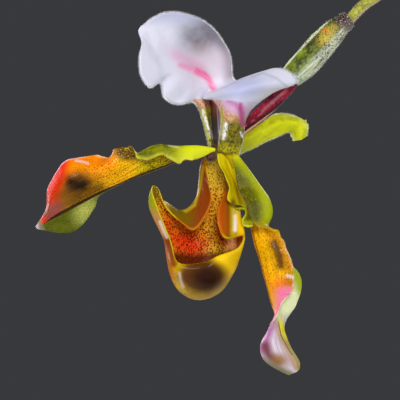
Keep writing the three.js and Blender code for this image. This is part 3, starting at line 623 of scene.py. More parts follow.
class Shade:
    """A socket of a finish that takes part in plain sums"""

    def __init__(self, finish, socket):
        self.finish = finish
        self.socket = socket

    def sum(self, operation, *values):
        """One Math node over this and other values"""
        return self.finish.node("ShaderNodeMath", {"operation": operation}, dict(enumerate(values)))

    def __add__(self, other):
        return self.sum("ADD", self, other)

    __radd__ = __add__

    def __sub__(self, other):
        return self.sum("SUBTRACT", self, other)

    def __rsub__(self, other):
        return self.sum("SUBTRACT", other, self)

    def __mul__(self, other):
        return self.sum("MULTIPLY", self, other)

    __rmul__ = __mul__

    def __truediv__(self, other):
        return self.sum("DIVIDE", self, other)

    def __rtruediv__(self, other):
        return self.sum("DIVIDE", other, self)

    def __pow__(self, other):
        return self.sum("POWER", self, other)

    def __abs__(self):
        return self.sum("ABSOLUTE", self)

    def least(self, other):
        return self.sum("MINIMUM", self, other)

    def most(self, other):
        return self.sum("MAXIMUM", self, other)

    def over(self, colour, share):
        """Lays a colour over this one; share is how much of it shows"""
        self.socket = self.finish.mix(self, colour, share).socket

    def rise(self, low, high):
        """0 below low and 1 above high, with a soft step between; low may be the greater"""
        if low > high:
            return 1 - self.rise(high, low)
        return self.finish.node(
            "ShaderNodeMapRange",
            {"interpolation_type": "SMOOTHSTEP"},
            {"Value": self, "From Min": low, "From Max": high},
        )

    def band(self, low, high, soft):
        """1 from low to high, with soft ends"""
        return self.rise(low - soft, low + soft) * self.rise(high + soft, high - soft)


class Finish:
    """A material made of nodes"""

    def __init__(self, name, roughness=0.5, coat=0.0, coat_roughness=0.15, sheen=0.0, specular=0.5):
        self.material = bpy.data.materials.new(name)
        self.material.use_nodes = True
        self.tree = self.material.node_tree
        self.shader = self.tree.nodes["Principled BSDF"]
        self.shader.inputs["Roughness"].default_value = roughness
        self.shader.inputs["Coat Weight"].default_value = coat
        self.shader.inputs["Coat Roughness"].default_value = coat_roughness
        self.shader.inputs["Sheen Weight"].default_value = sheen
        self.shader.inputs["Specular IOR Level"].default_value = specular

    def node(self, kind, settings=None, values=None, out=0):
        """A node of a type with its settings, and with values or links on its sockets"""
        made = self.tree.nodes.new(kind)
        for key, value in (settings or {}).items():
            setattr(made, key, value)
        for key, value in (values or {}).items():
            self.feed(made.inputs[key], value)
        return Shade(self, made.outputs[out])

    def feed(self, socket, value):
        """Sets or links a socket; a colour may be a hex code"""
        if isinstance(value, str):
            value = rgb(value)
        if isinstance(value, Shade):
            self.tree.links.new(value.socket, socket)
        elif socket.type == "RGBA" and len(value) == 3:
            socket.default_value = (*value, 1)
        else:
            socket.default_value = value

    def spot(self):
        """The place on the piece, in metres"""
        return self.node("ShaderNodeTexCoord", out="Object")

    def split(self, vector):
        """The three parts of a vector"""
        parts = self.node("ShaderNodeSeparateXYZ", values={0: vector})
        sockets = parts.socket.node.outputs
        return [Shade(self, socket) for socket in sockets]

    def share(self):
        """How far along the blade, from 0 to 1, and how far across it"""
        return self.split(self.node("ShaderNodeUVMap", {"uv_map": "share"}))[:2]

    def drawn(self):
        """The grid steps x and y at which the place is drawn"""
        x, y, _ = self.split(self.node("ShaderNodeUVMap", {"uv_map": "drawn"}))
        return x * STEPS, (1 - y) * STEPS

    def vector(self, x, y, z=0.0):
        return self.node("ShaderNodeCombineXYZ", values={0: x, 1: y, 2: z})

    def scaled(self, vector, scale):
        """A vector with each part multiplied"""
        return self.node("ShaderNodeVectorMath", {"operation": "MULTIPLY"}, {0: vector, 1: scale})

    def noise(self, scale, detail=3.0, vector=None, roughness=0.5):
        return self.node(
            "ShaderNodeTexNoise",
            values={
                "Vector": vector or self.spot(),
                "Scale": scale,
                "Detail": detail,
                "Roughness": roughness,
            },
        )

    def cells(self, scale, vector=None, feature="F1", out="Distance"):
        return self.node(
            "ShaderNodeTexVoronoi",
            {"feature": feature},
            {"Vector": vector or self.spot(), "Scale": scale},
            out,
        )

    def dots(self, scale, size, vector=None, kept=1.0):
        """Round dots strewn over the piece, a share of them kept"""
        vector = vector or self.spot()
        dot = self.cells(scale, vector).rise(size, size * 0.55)
        if kept >= 1:
            return dot
        chance = self.split(self.cells(scale, vector, out="Color"))[0]
        return dot * chance.rise(kept, kept - 0.02)

    def mix(self, first, second, share, way="MIX"):
        """Two colours mixed; share is how much of the second"""
        settings = {"data_type": "RGBA", "blend_type": way, "clamp_factor": True}
        return self.node("ShaderNodeMix", settings, {0: share, 6: first, 7: second}, 2)

    def patch(self, x, y, centre, size, soft=0.4, turn=0.0):
        """A soft round patch on the drawing"""
        c, s = math.cos(turn), math.sin(turn)
        dx, dy = x - centre[0], y - centre[1]
        a = (dx * c + dy * s) / size[0]
        b = (dy * c - dx * s) / size[1]
        return ((a * a + b * b) ** 0.5).rise(1 + soft, 1 - soft)

    def streak(self, x, y, points, width, soft=0.5):
        """A soft stroke along drawn points"""
        nearest = None
        for (x0, y0), (x1, y1) in zip(points, points[1:]):
            length2 = (x1 - x0) ** 2 + (y1 - y0) ** 2
            dx, dy = x - x0, y - y0
            t = ((dx * (x1 - x0) + dy * (y1 - y0)) / length2).most(0.0).least(1.0)
            a, b = dx - t * (x1 - x0), dy - t * (y1 - y0)
            gap = (a * a + b * b) ** 0.5
            nearest = gap if nearest is None else nearest.least(gap)
        return nearest.rise(width * (1 + soft), width * (1 - soft))

    def bumped(self, height, distance):
        """Relief of a height map, in metres"""
        bump = self.node("ShaderNodeBump", values={"Height": height, "Distance": distance})
        self.feed(self.shader.inputs["Normal"], bump)

    def done(self, colour, roughness=None):
        """Sets the colour, and the roughness where it varies"""
        self.feed(self.shader.inputs["Base Color"], colour)
        if roughness is not None:
            self.feed(self.shader.inputs["Roughness"], roughness)
        return self


def colour_value(name, description, code):
    """A colour of the panel"""
    return FloatVectorProperty(name=name, description=description, subtype="COLOR", default=rgb(code))


def length_value(name, description, length, greatest):
    """A length of the panel, given in millimetres"""
    return FloatProperty(
        name=name, description=description, default=length * MM, min=0, max=greatest * MM,
        subtype="DISTANCE", unit="LENGTH", precision=5,
    )


def power_value(name, description, power):
    """The power of a light"""
    return FloatProperty(
        name=name, description=description, default=power, min=0, subtype="POWER", unit="POWER"
    )


class FlowerLook(bpy.types.PropertyGroup):
    """Sizes and colours of the flower"""

    white: colour_value("Sepal white", "The dorsal sepal's blade", "#d4d4e4")
    stripe: colour_value("Midvein pink", "The dorsal sepal's midvein on its blade", "#e23a86")
    maroon: colour_value("Maroon", "Specks of the stem", "#2c0508")
    lime: colour_value("Lime", "The synsepal, the frill and the backs of the petals' bases", "#cbd00e")
    gold: colour_value("Gold", "Faces of the petals", "#f7b806")
    orange: colour_value("Orange", "Warm zones of the petals", "#fa8602")
    red: colour_value("Red", "The left petal's end", "#f01c02")
    pink: colour_value("Petal pink", "End of the right petal", "#e0709c")
    brown: colour_value("Brown", "Blotches and dots", "#2e1803")
    crimson: colour_value("Crimson", "The ovary", "#96102f")
    petal_frill: length_value("Frill", "Height of the fine frills on the petals' edges", 0.35, 1.5)
    down_length: length_value("Down", "Length of the hairs on the sepals' edges", 0.9, 3)
    down_count: IntProperty(
        name="Hairs on an edge",
        description="How many hairs stand along one edge of a sepal",
        default=2600,
        min=0,
        max=8000,
    )


class PlantLook(bpy.types.PropertyGroup):
    """Colours of the stem, leaves, mix and pot"""

    stem_green: colour_value("Stem", "The flower stem", "#b3b03a")
    leaf_green: colour_value("Leaf", "Upper face of the leaves", "#3f7423")
    leaf_back: colour_value("Leaf back", "Lower face of the leaves", "#7d9c55")
    bark: colour_value("Bark", "Chips of the potting mix", "#6b4427")
    clay: colour_value("Clay", "The pot", "#b9683f")


class StageLook(bpy.types.PropertyGroup):
    """Floor and light"""

    floor_size: FloatProperty(
        name="Floor radius", description="Radius of the floor", default=2.2, min=0.5, max=2.4,
        subtype="DISTANCE", unit="LENGTH",
    )
    key_power: power_value("Key light", "Power of the light at the upper left", 5.0)
    fill_power: power_value("Fill light", "Power of each light in front", 5.0)
    rim_power: power_value("Rim light", "Power of each light behind", 6.0)


def blade_thickness(grid, whole, edge=0.55 * MM, least=0.35):
    """Half thickness over a sheet, thinner towards its long edges so that they look rounded"""
    near = np.clip(from_edge(grid) / edge, 0, 1)
    return whole / 2 * (least + (1 - least) * np.sqrt(1 - (1 - near) ** 2))


def edge_hairs(grid, column, count, seed):
    """Roots on one long edge of a sheet and their outward ways"""
    random = np.random.default_rng(seed)
    inner = 1 if column == 0 else -2
    edge = grid[:, column]
    outward = unit(edge - grid[:, inner])
    s = random.uniform(0, len(edge) - 1.001, count)
    i = s.astype(int)
    f = (s - i)[:, None]
    return edge[i] * (1 - f) + edge[i + 1] * f, outward[i]


def both_edges(grid, count, seed):
    """Roots on both long edges of a sheet and their outward ways"""
    roots, ways = zip(*(edge_hairs(grid, column, count, seed + column) for column in (0, -1)))
    return np.concatenate(roots), np.concatenate(ways)


def rod_hairs(path, ring, radius, rows, count, seed, depth=1.0):
    """Roots strewn over a rod between two of its rows, and their ways"""
    random = np.random.default_rng(seed)
    i, j = random.integers(*rows, count), random.integers(0, ring.shape[1], count)
    reach = np.broadcast_to(radius, ring.shape[:2])[i, j, None]
    return path[i] + ring[i, j] * reach * depth, ring[i, j]


def face_hairs(skin, count, seed, chance, side=1, offset=0.3 * MM):
    """Roots strewn over a face of a skin where chance(u, v) allows, and their ways"""
    random = np.random.default_rng(seed)
    rows, columns = skin.grid.shape[:2]
    u, v = random.random(count), random.random(count)
    kept = random.random(count) < chance(u, v)
    i = (u[kept] * (rows - 1)).astype(int)
    j = (v[kept] * (columns - 1)).astype(int)
    way = skin.normal[i, j] * side
    return skin.grid[i, j] + way * offset, way


def sepal_white(f, look, cloud, wide, wave):
    """White blade with painted shade in its hood, along its side and top, in its crease and fold, and a pink
    stripe
    """
    x, y = f.drawn()
    white = f.mix(look.white, "#b4b8cc", cloud.rise(0.45, 0.75) * 0.3)
    # painted shade in the hollow of the hood
    shade = f.patch(x, y, (201, 36), (19, 21), 0.8, 0.3) * (0.55 + cloud * 0.9)
    white.over("#625c66", shade * 0.85)
    # painted shade along the hood's right side
    side = f.streak(x, y, [(206, 18), (222, 38), (228, 56), (230, 74)], 6.5, 0.95)
    white.over("#6e6674", side * 0.8)
    # painted shade over the top of the hood
    white.over("#a9aecb", (y + wave + abs(x - 175) * 0.12).rise(34, 12) * 0.9)
    # painted shade over the front fold's band
    band = f.patch(x, y, (243, 89), (24, 10), 0.7, -0.3)
    white.over("#a5a9cf", band * 0.8)
    blush = f.patch(x, y, (207, 66), (24, 19), 0.8)
    white.over("#d2bcc6", blush * 0.6)
    # painted shade along the crease of the left lobe
    painted_crease_shade = f.streak(x, y, [(146, 34), (151, 50), (160, 66), (163, 80)], 2.6, 0.9)
    white.over("#a7a9bd", painted_crease_shade * 0.25)
    # painted shade along the fold of the right lobe
    fold = f.streak(x, y + wave * 0.5, [(252, 77), (263, 73), (276, 78), (286, 86)], 1.3, 0.9)
    white.over("#9da2bd", fold * 0.45)
    smudge = f.streak(x, y, [(166, 48), (184, 60), (200, 70)], 6, 0.9) * wide.rise(0.3, 0.6)
    white.over("#d06aa8", smudge * 0.4)
    frayed = x + wave * 1.4 + (cloud - 0.5) * 4
    line = f.streak(frayed, y + wave * 0.7, [(180, 65), (188, 68), (197, 71)], 2.6, 0.98) * 0.4
    core = f.streak(frayed, y, [(197, 71), (204, 74.5), (209, 80), (213, 88)], 3.0, 0.95)
    fringe = f.noise(1.0, 3, f.vector(x * 0.075 + y * 0.066, x * 0.6 - y * 0.68)).rise(0.34, 0.58)
    core = core * (fringe * 0.55 + 0.45)
    white.over(look.stripe, line.most(core * 0.95) * (0.72 + cloud * 0.5).least(1.0))
    return white


def sepal_base(f, grain, wave):
    """The sepal's base: green, tan and blush with dark specks, a dark groove and painted highlights"""
    _, v = f.share()
    x, y = f.drawn()
    flecks = f.noise(1700, 2)
    olive = f.mix("#8d8404", "#4c4602", grain.rise(0.42, 0.62) * 0.8)
    olive.over("#b7ae0c", (y + wave).rise(142, 149) * 0.8)
    olive.over("#2a1003", flecks.rise(0.52, 0.6) * 0.8)
    tan = f.mix("#b98a2a", "#d9b39a", grain.rise(0.4, 0.65))
    right = f.mix(olive, tan, (y + wave * 2.5).rise(125, 117))
    right.over("#cfa6c8", (y + wave * 2.5 - (x - 230) * 0.35).rise(118, 108))
    right.over("#c9c2de", (y + wave - (x - 230) * 0.3).rise(106, 98))
    veins = f.streak(x + wave * 1.6, y, [(240, 105), (241.5, 114), (242, 124)], 2.6, 0.95)
    veins = veins.most(f.streak(x, y + wave * 1.6, [(229, 101), (236, 104), (240, 110)], 2.6, 0.95) * 0.6)
    right.over("#b42a86", veins * (0.5 + flecks * 0.8).least(1.0))
    ridge = f.streak(x + wave * 0.6, y, [(219, 102), (222.5, 110), (225, 119)], 2.4, 0.8)
    right.over(f.mix("#b98058", "#e2b9a6", flecks.rise(0.45, 0.6)), ridge * 0.9)
    rib = f.streak(x + wave * 0.3, y, [(221.5, 109), (223, 120), (222.3, 134)], 1.2, 0.9)
    right.over("#a8a416", rib * 0.85)
    left = f.mix("#a8a80e", "#5f5a08", grain.rise(0.45, 0.65))
    left.over("#4a2408", flecks.rise(0.54, 0.64) * (y + wave).rise(112, 122))
    rosy = f.mix("#dba584", "#7a3420", flecks.rise(0.55, 0.63))
    left.over(rosy, (y + wave * 2 + (x - 203) * 0.5).rise(112, 105))
    ticks = f.noise(1.0, 3, f.vector(x * 0.85, y * 0.3)).rise(0.36, 0.5)
    # painted highlight: a long white glint down the left strip, broken by fine ticks
    painted_shine = f.streak(x + wave * 0.4, y, [(202.6, 111), (206, 121), (210, 131), (212.4, 138)], 1.5, 0.9)
    left.over("#f6f3ea", painted_shine * ticks)
    left.over("#b9bf1c", f.streak(x, y, [(199, 108), (203, 121), (208, 138)], 0.9, 0.9) * 0.7)
    base = f.mix(right, left, v.rise(0.34, 0.3))
    groove = (v + wave * 0.002).band(0.3, 0.492, 0.016)
    dark = f.mix("#7a0209", "#220105", (y + wave * 2).rise(104, 122))
    # painted highlight: a thin pale line down the right side of the dark groove
    dark.over("#9a8cb4", f.streak(x, y, [(216.9, 108), (218, 120), (218.4, 133)], 0.5, 0.9) * 0.8)
    base.over(dark, groove)
    # painted highlights on the green base, broken by fine ticks
    painted_glint = f.streak(x + wave * 0.5, y, [(225.6, 124), (224.8, 130), (223.6, 138)], 1.9, 0.9)
    painted_glint = painted_glint.most(f.streak(x + wave * 0.5, y, [(240.6, 132), (242.4, 137)], 1.1, 0.9) * 0.9)
    base.over("#f4f2ec", painted_glint * ticks)
    return base


def sepal_inside(look):
    """The sepal's face: its white blade and its green base"""
    f = Finish("sepal_inside", roughness=0.5, coat=0.06, coat_roughness=0.12, sheen=0.08, specular=0.15)
    x, y = f.drawn()
    cloud = f.noise(260, 4)
    wide = f.noise(75, 2)
    grain = f.noise(900, 3)
    wave = (wide - 0.5) * 2.4
    white = sepal_white(f, look, cloud, wide, wave)
    base = sepal_base(f, grain, wave)
    colour = f.mix(white, base, (y + wave * 0.6 - (x - 206) * 0.05).rise(98.6, 100.2) * x.rise(192.5, 194.5))
    gloss = (y + wave).rise(96, 112)
    f.bumped(cloud * 0.6 + grain * 0.25 + f.cells(520) * 0.2, 0.12 * MM)
    return f.done(colour, 0.52 - gloss * 0.2)


def sepal_outside(look):
    """White blade flushed green and pink along its midvein"""
    f = Finish("sepal_outside", roughness=0.5, coat=0.1, sheen=0.25)
    u, v = f.share()
    cloud = f.noise(240, 4)
    white = f.mix(look.white, "#b6bac4", cloud.rise(0.4, 0.75) * 0.3)
    near = abs(v - 0.34)
    pink = near.rise(0.16, 0.0) * u.rise(0.95, 0.55) * 0.6
    colour = f.mix(white, "#c8799f", pink * cloud.rise(0.3, 0.6))
    colour.over("#9a9f3a", (u + near * 0.5).rise(0.5, 0.3))
    colour.over("#8e1f45", near.rise(0.035, 0.01) * u.rise(0.8, 0.5))
    f.bumped(cloud + f.cells(520) * 0.3, 0.12 * MM)
    return f.done(colour)


def petal_back(look, name, tip):
    """Smooth green back of a petal, paler along its veins, with a blushed end and painted highlights on its
    rolled edges
    """
    f = Finish(name, roughness=0.5, coat=0.08, coat_roughness=0.14, specular=0.1)
    u, v = f.share()
    x, y = f.drawn()
    wide = f.noise(110, 3)
    grain = f.noise(420, 4)
    veins = f.noise(1.0, 3, f.vector(u * 4, v * 34))
    colour = f.mix("#86880a", "#4a4e02", (grain * 0.6 + veins * 0.5).rise(0.48, 0.68) * 0.9)
    colour.over(look.lime, (x + wide * 14).rise(176, 200))
    colour.over("#c8c83a", v.rise(0.1, 0.02) * 0.6)
    colour.over("#d8d866", veins.rise(0.56, 0.72) * 0.25)
    spotted = f.mix("#c88c0c", "#3c1a04", f.noise(2300, 2).rise(0.48, 0.58))
    low = f.streak(x, y + wide * 2, [(150, 167), (160, 162.5), (171, 161)], 3.4, 0.6)
    colour.over(spotted, low * v.rise(0.3, 0.42))
    # painted highlights on the top and lower edge of the rolled base
    painted_shine = f.streak(x + wide * 3, y, [(171, 145.4), (180, 147)], 1.1, 0.9)
    painted_shine = painted_shine.most(f.streak(x, y, [(159.5, 156.2), (164, 155.6)], 1.0, 0.9))
    colour.over("#dfe0a4", painted_shine * wide.rise(0.36, 0.56) * 0.35)
    colour.over(tip, u.rise(0.72, 0.9))
    f.bumped(veins * 0.5 + grain * 0.5, 0.12 * MM)
    return f.done(colour)


def petal_left_face(look):
    """Gold to red, with brown dots and blotches and a dark midvein; green beyond it with painted sheen, and
    a painted highlight on the upper edge
    """
    f = Finish("petal_left_face", roughness=0.48, coat=0.07, coat_roughness=0.08, specular=0.08)
    u, v = f.share()
    x, y = f.drawn()
    wide = f.noise(90, 3)
    grain = f.noise(700, 3)
    fleck = f.noise(2300, 2)
    wobble = (wide - 0.5) * 14
    streaks = f.noise(1.0, 3, f.vector(u * 4, v * 60))
    gold = f.mix(look.gold, "#cdbc06", x.rise(128, 146))
    gold.over("#9c6004", streaks.rise(0.42, 0.66) * 0.7)
    upper = (v + (wide - 0.5) * 0.25).rise(0.34, 0.16) * (x + wobble).rise(122, 106)
    colour = f.mix(gold, look.orange, upper)
    colour.over("#f79404", f.patch(x, y, (84, 172), (26, 10), 0.8) * 0.7)
    rosy = (x + (y - 190) * 0.12 + wobble * 0.7).rise(70, 58)
    rosy = rosy.most(f.patch(x, y + wobble * 0.3, (60, 176), (9, 11), 0.7, -0.6) * 0.8)
    colour.over(look.red, rosy * 0.97)
    umber = f.patch(x + wobble, y + wobble * 0.5, (75, 191), (24, 10), 0.6, -0.42)
    umber = umber.most(f.patch(x + wobble, y, (78, 184), (17, 12), 0.8, -0.2) * 0.85)
    colour.over("#6b3c06", umber * 0.9)
    low = f.streak(x, y + wobble * 0.3, [(50, 213), (66, 205), (82, 198), (100, 188)], 5, 0.9)
    colour.over("#5c3a06", low * 0.8)
    mauve = f.patch(x + wobble * 0.5, y, (52, 211), (12, 7), 0.7, -0.6)
    colour.over("#8f4a40", mauve * 0.9)
    rough = (f.noise(230, 5, roughness=0.65) - 0.5) * 20
    blotch = f.patch(x + rough, y + rough * 0.5 + wobble * 0.3, (78, 184), (11.5, 8.5), 0.9, -0.25)
    far = f.patch(x + wobble * 0.5, y + wobble * 0.3, (126, 152), (13, 8), 0.45, 0.1)
    dots = fleck.rise(0.55, 0.62) * (v + wide * 0.2).rise(0.1, 0.32) * x.rise(62, 84)
    near_dots = fleck.rise(0.5, 0.57) * x.rise(138, 150)
    blotch = blotch * (streaks.rise(0.3, 0.5) * 0.35 + 0.65)
    marks = (blotch * 0.96).most(far * 0.9).most(dots * 0.5).most(near_dots * 0.7)
    colour.over(look.brown, marks)
    core = f.patch(x + rough * 1.3, y + rough * 0.8, (77.5, 184), (7.5, 5.5), 0.95, -0.2)
    colour.over("#1a0f03", core * 0.85)
    colour.over("#c9b03a", far * fleck.rise(0.56, 0.62) * 0.7)
    across = v + (grain - 0.5) * 0.012
    flap = f.mix("#585e03", "#343802", (grain * 0.3 + streaks * 0.7).rise(0.42, 0.66) * 0.7)
    # painted sheen: a paler middle on the green flap
    flap.over("#b9c05a", f.patch(x + wobble * 0.5, y, (87, 208), (9, 14), 0.9, 0.6) * 0.8)
    colour.over(flap, across.rise(0.5, 0.515) * x.rise(118, 108))
    vein = abs(across - 0.5).rise(0.034, 0.018) * x.rise(40, 50)
    colour.over("#280c04", vein * 0.95)
    tip = (x - (y - 215) * 0.35 + wobble * 0.1).rise(36.5, 33)
    colour.over("#8c8468", (x - (y - 215) * 0.35 + wobble * 0.1).rise(42, 36.5) * 0.8)
    colour.over("#c8bccc", tip * 0.95)
    margin = v.rise(0.045, 0.012) * x.rise(92, 78)
    colour.over("#ecc4d4", margin * 0.85)
    crest = v.rise(0.05, 0.015) * x.rise(92, 100) * wide.rise(0.42, 0.6)
    colour.over("#e8d29a", crest * 0.8)
    # painted highlight along the upper edge
    painted_glint = f.streak(x, y + wobble * 0.1, [(76, 160.6), (82, 161.8), (88, 163.6)], 1.1, 0.95)
    colour.over("#f2cfc6", painted_glint * 0.7)
    f.bumped(streaks * 0.8 + grain * 0.4 + dots * 0.5 + blotch * 0.5, 0.16 * MM)
    return f.done(colour)


def petal_right_face(look):
    """Lime plate above, gold with brown marks below, blushing to its end, with painted shade in a hollow and
    painted highlights near the margin
    """
    f = Finish("petal_right_face", roughness=0.48, coat=0.08, coat_roughness=0.08, specular=0.08)
    u, v = f.share()
    x, y = f.drawn()
    wide = f.noise(95, 3)
    grain = f.noise(700, 3)
    fleck = f.noise(2300, 2)
    wobble = (wide - 0.5) * 12
    streaks = f.noise(1.0, 3, f.vector(u * 5, v * 50))
    gold = f.mix(look.gold, "#c89404", streaks.rise(0.4, 0.66) * 0.8)
    gold.over(look.orange, f.patch(x + wobble * 0.5, y, (270, 284), (9, 17), 0.8) * 0.3)
    lime = f.mix("#dcc20a", "#b9b40c", streaks.rise(0.4, 0.65) * 0.7)
    colour = f.mix(lime, gold, (y + wobble * 0.5).rise(212, 226))
    midrib = f.streak(x, y, [(222, 152), (228, 158), (233, 168)], 0.9, 0.9)
    colour.over("#6c5a08", midrib * 0.6)
    rough = (f.noise(230, 5, roughness=0.65) - 0.5) * 13
    halo = f.streak(x + wobble * 0.4, y, [(274, 240), (281, 252), (287, 266)], 6, 0.8)
    colour.over("#c87e06", halo * 0.8)
    curl = f.patch(x + wobble * 0.3, y, (288, 284), (7, 6), 0.7, 0.3)
    colour.over("#c06010", curl * 0.8)
    # painted shade inside the curled margin of the plate
    painted_hollow_shade = f.patch(x, y + wobble * 0.2, (233, 203.5), (2.8, 5.5), 0.6)
    colour.over("#5e5204", painted_hollow_shade * 0.85)
    route = [(274, 244), (277, 251), (279.5, 258), (281, 265)]
    blotch = f.streak(x + rough, y + wobble * 0.4, route, 4.2, 0.98)
    blotch = (blotch * (fleck * 1.6 + 0.35)).least(1.0)
    dots = fleck.rise(0.56, 0.62) * y.band(228, 292, 8)
    marks = (blotch * 0.85).most(dots * 0.5)
    colour.over(look.brown, marks)
    near = x - (y - 285) * -0.16
    blush = (near + wobble * 0.3).rise(272, 284) * (y + wobble * 0.5).rise(284, 292)
    blush = blush.most((y + wobble).rise(304, 316))
    colour.over("#e8642a", f.patch(x + wobble * 0.4, y, (279, 286), (6, 9), 0.9, 0.3) * 0.6)
    colour.over(look.pink, blush * 0.95)
    # painted highlights: white glints on the curl and along the margin
    sheen = f.streak(x, y + wobble * 0.1, [(287.5, 276), (292.5, 277), (296, 280), (294, 285.5)], 1.5, 0.9)
    sheen = sheen.most(f.streak(x, y, [(285, 250), (286, 252.5)], 0.8, 0.95) * 0.7)
    sheen = sheen.most(f.streak(x, y, [(290, 261), (291.6, 266)], 0.6, 0.95) * 0.5)
    colour.over("#f6e6ee", sheen * grain.rise(0.34, 0.56) * 0.7)
    margin = (v.rise(0.05, 0.01) + v.rise(0.95, 0.99)).least(1.0) * y.rise(236, 250)
    colour.over("#efb9a0", margin * 0.6)
    edge = f.streak(x, y, [(252, 230), (262, 268), (272, 306)], 0.9, 0.9)
    colour.over("#7c3a06", edge * 0.7)
    tip = f.mix("#e3c9cf", "#c9a07a", f.patch(x, y, (285, 352), (7, 14), 0.9))
    colour.over(tip, y.rise(325, 338))
    f.bumped(streaks * 0.8 + grain * 0.4 + marks * 0.5, 0.16 * MM)
    return f.done(colour)


def petal_right_back():
    """Green back of the right petal; it turns to the front at the spoon end, rosy and pale"""
    f = Finish("petal_right_back", roughness=0.48, coat=0.1, coat_roughness=0.12, specular=0.1)
    u, v = f.share()
    x, y = f.drawn()
    wide = f.noise(90, 3)
    grain = f.noise(420, 4)
    streaks = f.noise(1.0, 3, f.vector(u * 5, v * 45))
    pale_dots = f.noise(2300, 2).rise(0.58, 0.66)
    colour = f.mix("#605e04", "#403e02", (streaks * 0.6 + grain * 0.5).rise(0.45, 0.62) * 0.7)
    route = [(240, 156), (256, 174), (266, 192), (271, 206), (270, 222)]
    bright = f.streak(x + wide * 3, y, route, 6.5, 0.95)
    colour.over("#a4ac0a", bright * 0.95)
    colour.over("#b4b82a", pale_dots * 0.3)
    colour.over("#b9b60c", (y + wide * 10).rise(172, 158))
    colour.over("#a88c08", (y + wide * 8).rise(224, 232) * 0.8)
    strip = f.mix("#9cab10", "#d9dcae", (y * 0.6 - x + wide * 10 + grain * 6).rise(-122, -108))
    colour.over(strip, y.rise(256, 268))
    wine = f.mix("#d6c9d8", "#a8949c", (streaks * 0.6 + wide * 0.5).rise(0.42, 0.66) * 0.7)
    peach = f.streak(x, y, [(276.5, 322), (281, 338), (288.5, 353), (296, 368)], 2.4, 0.9)
    wine.over("#b98e66", peach * 0.8)
    lilac = f.streak(x + wide * 2, y, [(273, 323), (266.5, 337), (265, 348)], 4.6, 0.9)
    wine.over("#a8609a", lilac * 0.95)
    deep = f.streak(x + wide * 2, y + wide * 2, [(266.5, 347), (270, 356), (278, 363)], 4.2, 0.95)
    wine.over("#7a3a3e", deep * 0.9)
    wine.over("#946a2c", f.patch(x + wide * 4, y, (282, 360), (7.5, 6), 0.8, 0.3) * 0.85)
    wine.over("#8e8468", (y - x * 0.45 + wide * 4).rise(239, 245))
    sun = f.streak(x, y, [(280, 318), (283.5, 334), (290.5, 348), (298.5, 362), (300, 371)], 2.5, 0.4)
    wine.over(f.mix("#ddd008", "#9c8a34", y.rise(332, 346)), sun * 0.95)
    seam = f.streak(x, y, [(277.6, 318), (281, 335), (287.6, 348), (292, 355)], 0.5, 0.9)
    rosy = f.mix(wine, "#5e3a08", seam * 0.85)
    colour.over(rosy, (y + (x - 280) * 0.3).rise(312, 326))
    f.bumped(streaks * 0.8 + grain * 0.5, 0.14 * MM)
    return f.done(colour)


def lime_finish(look, name="synsepal_lime"):
    """Downy lime green of the synsepal"""
    f = Finish(name, roughness=0.6, sheen=0.06, specular=0.1)
    u, v = f.share()
    grain = f.noise(500, 4)
    veins = f.noise(1.0, 3, f.vector(u * 3, v * 30))
    colour = f.mix(look.lime, "#a3a60c", (grain * 0.5 + veins * 0.5).rise(0.45, 0.65) * 0.8)
    colour.over("#e6ea5c", veins.rise(0.55, 0.7) * 0.4)
    colour.over("#8b8a08", u.rise(0.25, 0.02) * 0.6)
    f.bumped(grain * 0.6 + veins, 0.14 * MM)
    return f.done(colour)


def folded_lobes(f, wide, wobble):
    """The wall's side where it is folded inwards beside the claw, with a painted highlight down the right
    lobe
    """
    u, _ = f.share()
    x, y = f.drawn()
    skin = f.mix("#857808", "#7e3402", (u + wide * 0.12).rise(0.72, 0.9))
    skin.over("#6c5e08", (x + wobble).rise(203, 181) * 0.8)
    lip = f.streak(x, y, [(203, 166), (199.5, 188), (194.5, 205), (186, 211), (176, 206)], 1.6, 0.9)
    skin.over("#b9a01c", lip * 0.7)
    rust = f.mix("#b84a04", "#96540a", (x + wobble * 0.6).rise(219, 229))
    skin.over(rust, (x + wobble * 0.3).band(216, 229, 4) * 0.85)
    skin.over("#c4aa14", (x + wobble * 0.4).rise(228, 233) * 0.9)
    # painted highlight: a pale streak with a white core down the right lobe
    skin.over("#c9bc5c", f.streak(x + wobble * 0.2, y, [(235.5, 211), (236, 222)], 2.6, 0.9) * 0.7)
    skin.over("#f6e4e0", f.streak(x + wobble * 0.1, y, [(235.6, 216), (235.2, 230)], 1.8, 0.95) * 0.85)
    return skin


